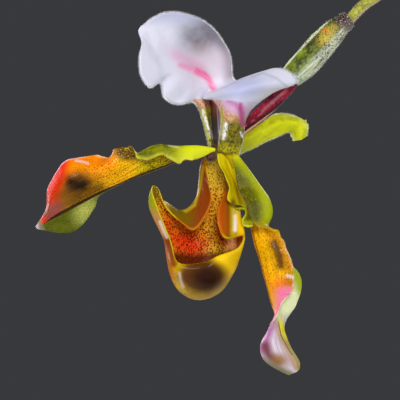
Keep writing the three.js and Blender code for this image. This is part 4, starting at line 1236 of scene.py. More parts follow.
def pouch_outside():
    """Glossy wall: brown over the toe's front, orange at the left, yellow green round the rest, with painted
    highlights on the toe and the left ear
    """
    f = Finish("pouch_outside", roughness=0.42, coat=0.1, coat_roughness=0.04, specular=0.05)
    u, _ = f.share()
    x, y = f.drawn()
    wide = f.noise(100, 3)
    grain = f.noise(600, 3)
    wobble = (wide - 0.5) * 8
    colour = f.mix("#e8bc0a", "#b59a08", (grain * 0.6 + wide * 0.5).rise(0.45, 0.66) * 0.8)
    colour.over("#c46c06", (x + wobble * 0.7).rise(180, 168))
    colour.over("#a87604", (y + wobble * 0.5).rise(290, 297) * 0.55)
    colour.over("#ffd010", (x + wobble * 0.5 - (y - 270) * 0.2).rise(204, 222) * 0.85)
    colour.over("#b89608", f.patch(x, y, (236, 257), (9, 10), 0.8) * 0.6)
    front = f.split(f.spot())[1].rise(0.003, -0.001)
    toe = f.patch(x + wobble * 0.5, y, (202.5, 276), (24, 17), 0.3) * front
    colour.over("#5e2a0a", toe * 0.94)
    core = f.patch(x + wobble * 0.7, y, (208, 278), (17.5, 14), 0.7)
    colour.over("#230a02", core * front * 0.95)
    # painted highlight: a white pink gloss down the toe's left side
    sheen = f.streak(x + wobble * 0.1, y, [(179.6, 273), (180.4, 280), (183, 287)], 1.3, 0.95)
    colour.over("#e8ccc4", sheen * 0.6)
    lobe = (y - wobble * 0.4).rise(250, 238) * (x + wobble).rise(240, 236)
    colour.over(folded_lobes(f, wide, wobble), lobe * x.rise(164, 172))
    ear = (x + wobble * 0.5).rise(172, 164) * (y + wobble).rise(244, 234)
    outer = f.mix("#8f9412", "#b8824a", (y + wobble * 0.4).rise(203, 220))
    colour.over(outer, ear * 0.95)
    deep = f.streak(x, y, [(166, 238), (170, 251), (174, 264)], 3.4, 0.8)
    colour.over("#742a06", deep * 0.85)
    # painted highlight along the left ear's outer edge
    painted_shine = f.streak(x, y, [(160.2, 222), (163, 229), (166.6, 237)], 1.6, 0.95)
    colour.over("#eadacb", painted_shine * 0.6)
    rim = f.mix("#c2b016", "#b9660c", x.rise(172, 180) * (y + wobble * 0.3).rise(240, 232))
    colour.over(rim, u.rise(0.96, 0.985))
    f.bumped(grain * 0.7 + wide * 0.4, 0.1 * MM)
    return f.done(colour)


def pouch_inside():
    """Lining: red orange to gold, strewn with fine dark dashes, with painted shade deep inside behind the
    rim
    """
    f = Finish("pouch_inside", roughness=0.5, coat=0.06, coat_roughness=0.16, specular=0.12)
    x, y = f.drawn()
    wide = f.noise(100, 3)
    wobble = (wide - 0.5) * 12
    colour = f.mix("#ffd63c", "#ffb41c", (y + wobble).rise(178, 205))
    heat = f.patch(x + wobble, y + wobble * 0.5, (188, 244), (24, 14), 0.7, 0.45)
    heat = heat.most(f.patch(x + wobble * 0.5, y, (169, 228), (13, 9), 0.8, 0.9) * 0.8)
    colour.over("#ff4a12", heat)
    colour.over("#ff8a2a", (x + wobble * 0.5).rise(207, 200) * (y + wobble).rise(172, 158) * 0.7)
    colour.over("#ffcf24", f.patch(x + wobble * 0.4, y, (217, 252), (9, 8), 0.9) * 0.85)
    colour.over("#ffb87a", f.patch(x, y, (231.5, 244), (8, 6), 0.8) * 0.9)
    colour.over("#857408", f.patch(x, y + wobble * 0.4, (153, 190), (7, 13), 0.7, -0.3))
    slim = f.scaled(f.spot(), (1.0, 0.8, 0.62))
    dashes = f.dots(2100, 0.52, slim, kept=0.95)
    weight = (y + wobble * 0.5).rise(170, 205) * 0.27 + 0.62
    weight = weight * (1 - f.patch(x, y, (232, 244), (9, 7), 0.6) * 0.5)
    colour.over("#4a0c02", dashes * weight * x.rise(150, 156))
    # painted shade deep inside the bag, behind the front rim
    colour.over("#5c0c02", (y + wobble * 0.3 + abs(x - 196) * 0.12).rise(250, 259) * 0.92)
    f.bumped(dashes * 0.6 + f.noise(600) * 0.4, 0.12 * MM)
    return f.done(colour)


def ovary_finish(look):
    """Velvety crimson, mottled darker, with painted shade along its underside and one pale rib"""
    f = Finish("ovary_velvet", roughness=0.6, sheen=0.12, specular=0.12)
    x, y = f.drawn()
    grain = f.noise(1100, 3)
    wide = f.noise(200, 3)
    colour = f.mix(look.crimson, "#3a0410", (wide * 0.7 + grain * 0.4).rise(0.46, 0.66))
    colour.over("#e0506a", grain.rise(0.54, 0.66) * 0.6)
    side = (y - 84) * 0.84 + (x - 292) * 0.62 + (wide - 0.5) * 2
    # painted shade along the ovary's underside
    colour.over("#2a0410", side.rise(6.0, 9.5) * 0.9)
    colour.over("#d8a07c", side.rise(10.6, 11.4) * 0.8)
    upper = f.streak(x, y + wide * 2, [(262, 112), (272, 103), (286, 91)], 1.6, 0.9)
    colour.over("#d08a96", upper * (grain * 0.5 + 0.1))
    f.bumped(grain, 0.15 * MM)
    return f.done(colour)


def bract_finish():
    """Green sheath with a pale edge, brown specks, and a dark upper end"""
    f = Finish("bract_sheath", roughness=0.55, coat=0.06, sheen=0.08, specular=0.15)
    u, _ = f.share()
    x, y = f.drawn()
    wide = f.noise(150, 4, roughness=0.6)
    grain = f.noise(900, 3)
    fleck = f.noise(2200, 3)
    wobble = (wide - 0.5) * 9
    side = (x - 316) * 0.72 + (y - 50) * 0.69
    colour = f.mix("#6c7a0c", "#1c3006", (grain * 0.5 + wide * 0.6).rise(0.47, 0.62) * 0.92)
    colour.over("#96a814", f.patch(x + wobble, y, (301, 52), (6, 3.5), 0.8, -0.8) * 0.7)
    colour.over("#d9e0b4", (side + wobble * 0.3).rise(-9.5, -11.5))
    yellow = f.patch(x + wobble, y + wobble * 0.3, (328, 35), (13, 7), 0.5, -0.85)
    colour.over("#b8a42e", yellow * 0.9)
    colour.over("#d6862c", f.patch(x, y, (325, 31), (3.5, 2.5), 0.8) * 0.8)
    along = (x - 316) * 0.69 - (y - 50) * 0.72
    strips = f.noise(1.0, 2, f.vector(side * 0.42, along * 0.05))
    pale = (side + wobble * 0.5).rise(0.5, 6.5) * (strips.rise(0.3, 0.68) * 0.6 + 0.35)
    colour.over("#d9e0c8", pale * 0.9)
    low = (y - x * 0.25 + wobble).rise(-3, 3)
    colour.over(f.mix("#b9c7b0", "#5d7c66", fleck.rise(0.45, 0.6)), low * 0.85)
    specks = fleck.rise(0.53, 0.6) * (wide + u * 0.3).rise(0.42, 0.72)
    colour.over("#3c1822", specks * 0.9)
    dark = (u + (wide - 0.5) * 0.25).rise(0.8, 0.9)
    top = f.mix("#34141f", "#b39aa0", fleck.rise(0.54, 0.66))
    colour.over(top, dark * 0.85)
    f.bumped(grain + wide * 0.6, 0.18 * MM)
    return f.done(colour)


def stem_finish(plant, flower):
    """Olive green, paler and pink below near the flower, with fine specks"""
    f = Finish("stem_green", roughness=0.5, coat=0.08, sheen=0.1, specular=0.25)
    u, v = f.share()
    grain = f.noise(700, 3)
    streaks = f.noise(1.0, 3, f.vector(u * 60, v * 10))
    colour = f.mix(plant.stem_green, "#5f6d1a", (grain * 0.5 + streaks * 0.5).rise(0.4, 0.62) * 0.7)
    colour.over("#d5b9a4", v.band(0.62, 0.9, 0.06) * u.rise(0.3, 0.1) * 0.8)
    specks = f.dots(1500, 0.34, kept=0.35)
    colour.over(flower.maroon, specks * 0.6)
    f.bumped(grain + streaks * 0.4, 0.12 * MM)
    return f.done(colour)


def column_finish(look):
    """Dark purple brown"""
    f = Finish("column_dark", roughness=0.5, coat=0.12, sheen=0.05, specular=0.2)
    grain = f.noise(900, 3)
    colour = f.mix("#2a0910", "#7c2a1e", grain.rise(0.45, 0.7))
    colour.over(look.lime, f.drawn()[0].rise(214, 222) * 0.7)
    f.bumped(grain, 0.2 * MM)
    return f.done(colour)


def hair_finish(name, code):
    """Plain hairs, lighter in places"""
    f = Finish(name, sheen=0.3)
    colour = rgb(code)
    lighter = tuple(min(1.0, part * 1.5 + 0.02) for part in colour)
    return f.done(f.mix(colour, lighter, f.noise(350).rise(0.4, 0.7)))


def leaf_finish(plant, name, upper):
    """Strap leaf: long parallel veins, faint mottling, and a keel below"""
    f = Finish(name, roughness=0.36 if upper else 0.5, coat=0.25 if upper else 0.05)
    u, v = f.share()
    wide = f.noise(45, 3)
    grain = f.noise(500, 3)
    across = abs(v - 0.5)
    lines = f.noise(1.0, 2, f.vector(u * 2, v * 70))
    nets = f.cells(130, f.scaled(f.spot(), (1.0, 1.0, 0.45)), "DISTANCE_TO_EDGE").rise(0.18, 0.0)
    main = plant.leaf_green if upper else plant.leaf_back
    deep = "#234d16" if upper else "#5f7f3c"
    light = "#7fa34a" if upper else "#9db878"
    colour = f.mix(main, deep, wide.rise(0.42, 0.68) * 0.6)
    colour.over(light, nets * 0.16 + lines.rise(0.5, 0.72) * 0.25)
    colour.over(light, across.rise(0.03, 0.008) * 0.6)
    colour.over(light, across.rise(0.485, 0.5) * 0.7)
    colour.over("#a8b56a", u.rise(0.1, 0.0) * 0.8)
    if not upper:
        spots = f.dots(900, 0.4, kept=0.5) * u.rise(0.3, 0.05)
        colour.over("#4a1a3c", spots * 0.8)
    f.bumped(lines * 0.6 + nets * 0.3 + grain * 0.15, 0.25 * MM)
    return f.done(colour)


def bark_finish(plant, name, deep):
    """Rough bark with darker and paler layers"""
    f = Finish(name, roughness=0.9)
    layers = f.noise(170, 5, f.scaled(f.spot(), (1.0, 1.0, 2.6)), 0.65)
    grain = f.noise(900, 3)
    colour = f.mix(plant.bark, "#2c1a10", layers.rise(0.42, 0.66) * deep)
    colour.over("#a4774c", layers.rise(0.4, 0.28) * 0.7)
    colour.over("#3c2417", grain.rise(0.5, 0.7) * 0.4)
    f.bumped(layers + grain * 0.3, 0.6 * MM)
    return f.done(colour)


def clay_finish(plant):
    """Fired clay with a faint pale bloom and fine grit"""
    f = Finish("clay", roughness=0.82, specular=0.3)
    _, _, z = f.split(f.spot())
    cloud = f.noise(28, 5)
    grit = f.noise(900, 3)
    rings = f.noise(1.0, 2, f.vector(0.0, 0.0, z * 700))
    colour = f.mix(plant.clay, "#8f4826", cloud.rise(0.42, 0.65) * 0.6)
    bloom = z.rise(0.03, 0.0) * 0.5 + z.band(0.08, 0.092, 0.008) * 0.35
    colour.over("#dcbfa6", bloom * cloud.rise(0.35, 0.62))
    colour.over("#6f3a20", grit.rise(0.6, 0.75) * 0.35)
    f.bumped(grit * 0.5 + rings * 0.7 + cloud * 0.4, 0.22 * MM)
    return f.done(colour, 0.78 + cloud * 0.14)


def floor_finish():
    f = Finish("floor", roughness=0.7)
    return f.done(f.mix("#d8d7d4", "#cfcecb", f.noise(6)))


class Maker:
    """Shared ways of the panel's steps; each has a function make"""

    bl_options = {"REGISTER", "UNDO"}

    @classmethod
    def poll(cls, context):
        return context.scene is not None

    def execute(self, context):
        self.make(context)
        return {"FINISHED"}


def shares(grid_size):
    """Even shares of the length and of the width for a grid"""
    rows, columns = grid_size
    return np.linspace(0, 1, rows), np.linspace(0, 1, columns)


def waved(grid, seed, waves, crossing, height, strength):
    """A grid with soft waves, stronger where strength says"""
    u, v = shares(grid.shape[:2])
    wave = ripple(seed, u[:, None], v[None], waves, crossing) * strength(u[:, None])
    return grid + normals_of(grid) * (wave * height)[..., None]


class ORCHID_OT_dorsal_sepal(Maker, bpy.types.Operator):
    """Makes the white hooded sepal with its downy edge"""

    bl_idname = "orchid.dorsal_sepal"
    bl_label = "Dorsal sepal"

    def make(self, context):
        look = context.scene.orchid_flower
        grid = eased(loft(DORSAL.values(), *shares(DORSAL_GRID)), 14)
        grid = waved(
            grid, seed=3, waves=2.2, crossing=1.5, height=0.22 * MM,
            strength=lambda s: np.clip(s * 2 - 0.7, 0, 1),
        )
        # two rows more, so that its foot reaches into the flower's centre
        foot = grid[:1] - unit(grid[4:5] - grid[:1]) * 1.1 * MM
        grid = np.concatenate([foot + [0, 0.4 * MM, 0], (foot + grid[:1]) / 2, grid])
        skin = Skin(grid, blade_thickness(grid, SEPAL_THICKNESS))
        finishes = [sepal_outside(look), sepal_inside(look)]
        skin_piece("dorsal_sepal_blade", skin, finishes, "dorsal_sepal")
        hairs(
            "dorsal_sepal_down", *both_edges(grid, look.down_count, seed=5),
            length=look.down_length, width=0.028 * MM,
            finish=hair_finish("down_white", "#e4e2ee"), slot="dorsal_sepal", seed=11,
        )
        roots, ways = face_hairs(
            skin, SEPAL_BASE_HAIRS, 12, lambda s, t: (s < 0.3) & ((t > 0.46) | (t < 0.24)), side=-1
        )
        hairs(
            "dorsal_sepal_base_hairs", roots, ways, length=0.45 * MM, width=0.022 * MM,
            finish=hair_finish("hair_maroon", "#5e3540"), slot="dorsal_sepal", seed=13,
        )


def petal_grid(lines, rows, columns, fine, seed, crests):
    """Grid of a petal with its frills, coarse as in the solid and fine ones on top"""
    u, v = shares((rows, columns))
    grid = eased(loft(lines.values(), u, v), 8)
    s, t = u[:, None], v[None]
    ends = np.minimum(1, np.minimum(8 * s, 4 * (1 - s)))
    margin = np.minimum(t, 1 - t)
    coarse = np.clip(1 - margin / COARSE_FRILL_WIDTH, 0, 1) ** 2
    phase = np.where(t < 0.5, 0, 1.7)
    turns = 2 * np.pi * COARSE_FRILLS * s + phase
    wave = COARSE_FRILL * coarse * ends * np.where(s < 0.62, 1, 0.4) * np.sin(turns)
    thin = np.clip(1 - margin / FINE_FRILL_WIDTH, 0, 1) ** 2
    wave = wave + fine * thin * ends * ripple(seed, s, t, 15, 0.5) * np.where(s < 0.7, 1, 0.3)
    wave = wave + BLADE_RIPPLE * ripple(seed + 1, s, t, 3, 4.0) * ends
    normal = normals_of(grid)
    outward = unit(grid[:, :1] - grid[:, columns // 8, None])
    near = np.clip(1 - t / 0.14, 0, 1) ** 1.5
    grid = grid + normal * wave[..., None]
    for centre, width, rise, push in crests:
        share = (near * np.exp(-(((s - centre) / width) ** 2)))[..., None]
        grid = grid + share * (outward * rise + normal * push) * MM
    return grid


class ORCHID_OT_petals(Maker, bpy.types.Operator):
    """Makes the two twisted, frilled petals"""

    bl_idname = "orchid.petals"
    bl_label = "Petals"

    def make(self, context):
        look = context.scene.orchid_flower
        left = petal_grid(LEFT_PETAL, *LEFT_PETAL_GRID, look.petal_frill, 21, LEFT_CRESTS)
        left_skin = Skin(left, blade_thickness(left, PETAL_THICKNESS))
        finishes = [petal_left_face(look), petal_back(look, "petal_left_back", "#cfd08a")]
        skin_piece("petal_left_blade", left_skin, finishes, "petal_left")
        right = petal_grid(RIGHT_PETAL, *RIGHT_PETAL_GRID, look.petal_frill * 0.6, 31, RIGHT_CRESTS)
        right_skin = Skin(right, blade_thickness(right, PETAL_THICKNESS))
        finishes = [petal_right_back(), petal_right_face(look)]
        skin_piece("petal_right_blade", right_skin, finishes, "petal_right")
        frill = eased(loft(RIGHT_FRILL.values(), *shares(FRILL_GRID)), 4)
        frill_skin = Skin(frill, blade_thickness(frill, SEPAL_THICKNESS, 0.4 * MM))
        frill_finish = lime_finish(look, "petal_right_lime")
        skin_piece("petal_right_frill", frill_skin, [frill_finish, frill_finish], None)
        hair = hair_finish("hair_brown", "#6b3020")
        for name, grid, seed in (("petal_left", left, 41), ("petal_right", right, 43)):
            roots, ways = both_edges(grid[: len(grid) // 2], PETAL_EDGE_HAIRS, seed)
            hairs(
                name + "_edge_hairs", roots, ways, length=0.55 * MM, width=0.024 * MM,
                finish=hair, slot="petal", seed=seed,
            )


class ORCHID_OT_synsepal(Maker, bpy.types.Operator):
    """Makes the two lower sepals, grown into one lime green blade"""

    bl_idname = "orchid.synsepal"
    bl_label = "Synsepal"

    def make(self, context):
        look = context.scene.orchid_flower
        grid = eased(loft(SYNSEPAL.values(), *shares(SYNSEPAL_GRID)), 8)
        grid = waved(
            grid, seed=51, waves=2.5, crossing=2.0, height=0.15 * MM,
            strength=lambda s: np.minimum(1, 4 * s),
        )
        skin = Skin(grid, blade_thickness(grid, SEPAL_THICKNESS))
        lime = lime_finish(look)
        skin_piece("synsepal_blade", skin, [lime, lime], "synsepal")
        steps, sides = SPIKE_GRID
        path = curve_at(placed(SPIKE_LINE), np.linspace(0, 1, steps))
        radius = np.linspace(0.55, 0.1, steps)[:, None] * MM
        points, faces, share, _ = tube(path, radius, sides)
        new_piece("synsepal_spike", points, faces, [lime], None, share)
        hairs(
            "synsepal_down", *both_edges(grid, look.down_count // 2, seed=55),
            length=look.down_length, width=0.026 * MM,
            finish=hair_finish("down_lime", "#e2e7a8"), slot="synsepal", seed=57,
        )


class ORCHID_OT_pouch(Maker, bpy.types.Operator):
    """Makes the pouch with its ears, infolded lobes and claw"""

    bl_idname = "orchid.pouch"
    bl_label = "Pouch"

    def make(self, context):
        rows, columns = POUCH_GRID
        u, v = np.linspace(0, 1, rows)[1:], np.arange(columns) / columns
        lines = [[TOE, *line] for line in POUCH.values()]
        grid = loft(lines, u, v, closed=True)
        # from the toe's point to the first drawn ring the bag is round
        ring_share = 1 / 5
        toe, ring = placed(TOE), loft(lines, [ring_share], v, closed=True)[0]
        for i in range(np.searchsorted(u, ring_share)):
            part = 5 * u[i]
            grid[i] = toe + (ring - toe) * np.array([part**0.6, part**0.6, part**1.3])
        grid = eased(grid, 8, around=True)
        half = POUCH_THICKNESS / 2 * (1 - 0.55 * np.clip((u[:, None] - 0.9) / 0.1, 0, 1))
        skin = Skin(grid, half, around=True, pole=toe)
        # one side faces out of the bag; which one depends on the way the lines go round
        outward = np.einsum("jc,jc->j", skin.normal[40], grid[40] - grid[40].mean(0)).mean() > 0
        finishes = [pouch_outside(), pouch_inside()]
        if not outward:
            finishes.reverse()
        skin_piece("pouch_shell", skin, finishes, "pouch")


class ORCHID_OT_centre(Maker, bpy.types.Operator):
    """Makes the column with its hairy knob"""

    bl_idname = "orchid.centre"
    bl_label = "Column"

    def make(self, context):
        look = context.scene.orchid_flower
        steps, sides = COLUMN_GRID
        t = np.linspace(0, 1, steps)
        path = curve_at(placed(COLUMN_LINE), t)
        radius = curve_at([[r] for r in COLUMN_RADII], t)[:, 0] * MM
        radius = radius * np.sqrt(np.clip((1 - t) / 0.1, 0.02, 1))
        points, faces, share, ring = tube(path, radius[:, None], sides)
        new_piece("column_body", points, faces, [column_finish(look)], "column", share)
        roots, ways = rod_hairs(
            path, ring, radius[:, None], KNOB_ROWS, COLUMN_HAIRS, seed=61, depth=0.95
        )
        hairs(
            "column_hairs", roots, ways, length=0.7 * MM, width=0.03 * MM,
            finish=hair_finish("hair_dark", "#3b1116"), slot="column", seed=62,
        )


class ORCHID_OT_ovary_and_bract(Maker, bpy.types.Operator):
    """Makes the ribbed ovary and the sheath round its upper end"""

    bl_idname = "orchid.ovary_and_bract"
    bl_label = "Ovary and bract"

    def make(self, context):
        look = context.scene.orchid_flower
        steps, sides = OVARY_GRID
        t = np.linspace(0, 1, steps)
        path = curve_at(placed(OVARY_LINE), t)
        angle = np.arange(sides) / sides * 2 * np.pi
        swell = 0.82 + 0.25 * np.sin(np.pi * np.minimum(1, t * 1.1))
        ribs = 1 + 0.1 * np.cos(OVARY_RIBS * angle)
        radius = OVARY_RADIUS * swell[:, None] * ribs[None]
        points, faces, share, ring = tube(path, radius, sides)
        new_piece("ovary_body", points, faces, [ovary_finish(look)], "ovary", share)
        roots, ways = rod_hairs(path, ring, radius, BARE_OVARY_ROWS, OVARY_HAIRS, seed=71)
        hairs(
            "ovary_hairs", roots, ways, length=0.5 * MM, width=0.024 * MM,
            finish=hair_finish("hair_purple", "#7a2350"), slot="ovary", seed=72,
        )
        self.bract()

    def bract(self):
        """The sheath, open along one side, with its down"""
        u, v = shares(BRACT_GRID)
        centre = curve_at(placed(BRACT_LINE), u)
        across = unit(np.cross(unit(np.gradient(centre, axis=0)), DEPTHWAYS))
        widths = curve_at([[w] for w in BRACT_HALF_WIDTHS], u) * MM
        depths = curve_at([[w] for w in BRACT_HALF_DEPTHS], u) * MM
        turn = BRACT_OPENING / 2 + v * (2 * np.pi - BRACT_OPENING)
        grid = (
            centre[:, None]
            + (across * widths)[:, None] * np.cos(turn)[None, :, None]
            - (DEPTHWAYS * depths)[:, None] * np.sin(turn)[None, :, None]
        )
        grid = waved(
            grid, seed=75, waves=2.0, crossing=3.0, height=0.12 * MM, strength=np.ones_like
        )
        skin = Skin(grid, blade_thickness(grid, BRACT_THICKNESS))
        sheath = bract_finish()
        skin_piece("bract_sheath", skin, [sheath, sheath], "bract")
        out = grid - centre[:, None]
        side = 1 if np.einsum("ijc,ijc->ij", skin.normal, out).mean() > 0 else -1
        roots, ways = face_hairs(skin, BRACT_HAIRS, 76, lambda s, t: s >= 0, side)
        hairs(
            "bract_down", roots, ways, length=0.4 * MM, width=0.02 * MM,
            finish=hair_finish("down_pale", "#cfd3c0"), slot="bract", seed=77,
        )


def stem_route():
    """Points of the stem: the drawn tip, an arch, and a slightly bowed fall into the pot"""
    tip = placed(STEM_TIP_LINE)
    entry = tip[-1]
    heading = math.atan2(entry[2] - tip[1][2], entry[0] - tip[1][0])
    centre_x = entry[0] + STEM_ARCH_RADIUS * math.sin(heading)
    centre_z = entry[2] - STEM_ARCH_RADIUS * math.cos(heading)
    arch_steps = 5
    arch = []
    for k in range(1, arch_steps + 1):
        turned = heading - (heading + math.pi / 2) * k / arch_steps
        arch.append([
            centre_x - STEM_ARCH_RADIUS * math.sin(turned),
            entry[1] * (1 - 0.6 * k / arch_steps),
            centre_z + STEM_ARCH_RADIUS * math.cos(turned),
        ])
    foot = MIX_TOP - HOLE_DEPTH + CLEARANCE
    shoulder = arch[-1]
    fall = []
    for k in (0.25, 0.5, 0.75, 1):
        bow = STEM_BOW * math.sin(math.pi * k) * (1 - 0.4 * k)
        fall.append([
            shoulder[0] * (1 - k) + bow,
            shoulder[1] * (1 - k),
            shoulder[2] + (foot - shoulder[2]) * k,
        ])
    return np.array([*tip, *arch, *fall])


class ORCHID_OT_stem(Maker, bpy.types.Operator):
    """Makes the arching flower stem and its fine hairs"""

    bl_idname = "orchid.stem"
    bl_label = "Flower stem"

    def make(self, context):
        scene = context.scene
        steps, sides = STEM_GRID
        t = np.linspace(0, 1, steps)
        path = curve_at(stem_route(), t)
        radius = STEM_TOP_RADIUS + (STEM_FOOT_RADIUS - STEM_TOP_RADIUS) * t
        radius = radius * (0.97 + 0.02 * ripple(81, t, 0.0, 9))
        points, faces, share, ring = tube(path, radius[:, None], sides)
        finish = stem_finish(scene.orchid_plant, scene.orchid_flower)
        new_piece("flower_stem_body", points, faces, [finish], "flower_stem", share)
        roots, ways = rod_hairs(path, ring, radius[:, None], (0, steps), STEM_HAIRS, 82)
        kept = roots[:, 2] < CAD_BOX[1][2] - STEM_HAIR
        hairs(
            "flower_stem_hairs", roots[kept], ways[kept], length=STEM_HAIR, width=0.022 * MM,
            finish=hair_finish("hair_stem", "#7a5560"), slot="stem", seed=83,
        )


def leaf_grid(leaf, rows, columns):
    """Grid of one strap leaf: folded at its foot, open and arching further out"""
    side, rank = leaf.side, leaf.rank
    u = np.linspace(0, 1, rows)
    t = np.arange(LEAF_STEPS + 1) / LEAF_STEPS
    upright = np.maximum(0, 1 - t / 0.14)
    heading = leaf.lift + (np.pi / 2 - leaf.lift) * upright
    heading = heading - leaf.droop * np.maximum(0, t - 0.1) ** 1.3
    foot = MIX_TOP - HOLE_DEPTH + CLEARANCE + 0.4 * MM
    start = side * (LEAF_FIRST_OFFSET + rank * LEAF_OFFSET_STEP)
    step = leaf.length / LEAF_STEPS
    out, up = (np.concatenate([[0], np.cumsum(way(heading[:-1]))]) for way in (np.cos, np.sin))
    x = np.interp(u, t, start + side * step * out)
    z = np.interp(u, t, foot + step * up)
    angle = np.interp(u, t, heading)
    swell = np.minimum(1, 0.2 + u * 3.2) * np.minimum(u * 4, 1)
    taper = np.sqrt(np.maximum(0.004, 1 - ((u - 0.4) / 0.605) ** 2))
    taper = np.where(u > 0.4, taper, 1)
    half = (LEAF_FOOT_WIDTH + (LEAF_WIDTH - LEAF_FOOT_WIDTH) * swell) / 2 * taper * 0.95
    w = np.linspace(-1, 1, columns)
    fold = 0.42 - 0.22 * np.minimum(u * 1.6, 1)
    keel = (half * fold)[:, None] * (np.sqrt(w * w + 0.02) - 0.14)[None]
    wave = LEAF_WAVE * np.sin(u * 13 + rank * 2 + side) * np.minimum(u * 2, 1) * taper
    lift = keel + wave[:, None] * w[None]
    grid = np.zeros((rows, columns, 3))
    grid[..., 0] = x[:, None] - side * np.sin(angle)[:, None] * lift
    grid[..., 1] = half[:, None] * w[None]
    grid[..., 2] = z[:, None] + np.cos(angle)[:, None] * lift
    c, s = math.cos(FAN_TURN), math.sin(FAN_TURN)
    return eased(grid @ np.array([[c, s, 0], [-s, c, 0], [0, 0, 1]]), 3)


class ORCHID_OT_leaves(Maker, bpy.types.Operator):
    """Makes the fan of strap leaves"""

    bl_idname = "orchid.leaves"
    bl_label = "Leaves"

    def make(self, context):
        plant = context.scene.orchid_plant
        upper = leaf_finish(plant, "leaf_upper", True)
        lower = leaf_finish(plant, "leaf_lower", False)
        for k, leaf in enumerate(LEAVES):
            grid = leaf_grid(leaf, *LEAF_GRID)
            skin = Skin(grid, blade_thickness(grid, LEAF_THICKNESS, 1.2 * MM, 0.3))
            # the upper face looks towards the middle of the fan
            inward = np.einsum("c,c->", skin.normal[80, 24], [-leaf.side, 0, 1.0]) > 0
            finishes = [upper, lower] if inward else [lower, upper]
            skin.points = np.clip(skin.points, *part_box(f"leaf_{k + 1}"))
            skin_piece(f"leaf_{k + 1}_blade", skin, finishes, f"leaf_{k + 1}")


def wall_radius(z):
    """Radius of the pot's outer wall below its rim"""
    return POT_BASE_RADIUS + (POT_TOP_RADIUS - POT_RIM_STEP - POT_BASE_RADIUS) * z / POT_HEIGHT


def rounded(profile, radius, steps=4):
    """A profile with its corners rounded"""
    profile = [np.array(p, float) for p in profile]
    out = [profile[0]]
    for before, corner, after in zip(profile, profile[1:], profile[2:]):
        a, b = before - corner, after - corner
        cut = min(radius, np.linalg.norm(a) / 2.2, np.linalg.norm(b) / 2.2)
        start, end = corner + a / np.linalg.norm(a) * cut, corner + b / np.linalg.norm(b) * cut
        for k in range(steps + 1):
            t = k / steps
            out.append(start * (1 - t) ** 2 + corner * 2 * t * (1 - t) + end * t * t)
    return np.array(out + [profile[-1]])


def turned(profile, sides):
    """Points and faces of a profile turned about the pot's axis; it may be open at the axis"""
    angle = np.arange(sides) / sides * 2 * np.pi
    points = np.zeros((len(profile), sides, 3))
    points[..., 0] = profile[:, :1] * np.cos(angle)
    points[..., 1] = profile[:, :1] * np.sin(angle)
    points[..., 2] = profile[:, 1:]
    return points.reshape(-1, 3), wrapped(len(profile), sides)


def circle(sides):
    """Points of a level circle with the radius 1"""
    turn = np.arange(sides) / sides * 2 * np.pi
    return np.stack([np.cos(turn), np.sin(turn), np.zeros(sides)], -1)


class ORCHID_OT_pot(Maker, bpy.types.Operator):
    """Makes the clay pot with its rim and drain holes"""

    bl_idname = "orchid.pot"
    bl_label = "Pot"

    def make(self, context):
        rim_foot = POT_HEIGHT - POT_RIM_HEIGHT
        inner_top = wall_radius(POT_HEIGHT) - POT_WALL
        floor_radius = wall_radius(POT_FLOOR) - POT_WALL
        outside = [
            (0.0, 0.0), (POT_BASE_RADIUS, 0.0), (wall_radius(rim_foot), rim_foot),
            (wall_radius(rim_foot) + POT_RIM_STEP, rim_foot + POT_EDGE),
            (POT_TOP_RADIUS, POT_HEIGHT), (inner_top, POT_HEIGHT),
            (floor_radius, POT_FLOOR), (0.0, POT_FLOOR),
        ]
        points, faces = turned(rounded(outside, POT_EDGE)[1:-1], POT_SIDES)
        points = np.concatenate([points, [[0, 0, 0], [0, 0, POT_FLOOR]]])
        close_ends(faces, len(points), POT_SIDES)
        clay = clay_finish(context.scene.orchid_plant)
        pot = new_piece("pot_body", points, faces, [clay], "pot")
        self.drill(context, pot)

    def drill(self, context, pot):
        """Cuts the drain holes"""
        drill_mesh = bpy.data.meshes.new("drills")
        drill_points, drill_faces = [], []
        for k in range(DRAIN_COUNT):
            angle = (k + 0.5) / DRAIN_COUNT * 2 * math.pi
            middle = np.array([DRAIN_CIRCLE * math.cos(angle), DRAIN_CIRCLE * math.sin(angle), 0])
            ring = circle(DRAIN_SIDES) * DRAIN_RADIUS
            low = len(drill_points)
            high = low + DRAIN_SIDES
            drill_points += (middle + ring + [0, 0, -POT_FLOOR]).tolist()
            drill_points += (middle + ring + [0, 0, 2 * POT_FLOOR]).tolist()
            for j in range(DRAIN_SIDES):
                after = (j + 1) % DRAIN_SIDES
                drill_faces.append([low + j, low + after, high + after, high + j])
            drill_faces.append([low + j for j in reversed(range(DRAIN_SIDES))])
            drill_faces.append([high + j for j in range(DRAIN_SIDES)])
        drill_mesh.from_pydata(drill_points, [], drill_faces)
        drills = bpy.data.objects.new("drills", drill_mesh)
        context.scene.collection.objects.link(drills)
        cut = pot.modifiers.new("drain holes", "BOOLEAN")
        cut.object = drills
        cut.solver = "EXACT"
        context.view_layer.update()
        graph = context.evaluated_depsgraph_get()
        drilled = bpy.data.meshes.new_from_object(pot.evaluated_get(graph))
        pot.modifiers.clear()
        old = pot.data
        pot.data = drilled
        bpy.data.meshes.remove(old)
        bpy.data.objects.remove(drills)
        if len(drilled.polygons) < 1000:
            raise RuntimeError("the pot lost its walls when its holes were cut")


def seeded(seed):
    """Repeatable numbers from 0 to 1"""
    state = seed
    while True:
        state = (state * 1664525 + 1013904223) % 4294967296
        yield state / 4294967296


def turned_by(points, x, y, z):
    """Points turned about X, then Y, then Z"""
    (cx, sx), (cy, sy), (cz, sz) = ((math.cos(angle), math.sin(angle)) for angle in (x, y, z))
    about_x = np.array([[1, 0, 0], [0, cx, -sx], [0, sx, cx]])
    about_y = np.array([[cy, 0, sy], [0, 1, 0], [-sy, 0, cy]])
    about_z = np.array([[cz, -sz, 0], [sz, cz, 0], [0, 0, 1]])
    return points @ about_x.T @ about_y.T @ about_z.T


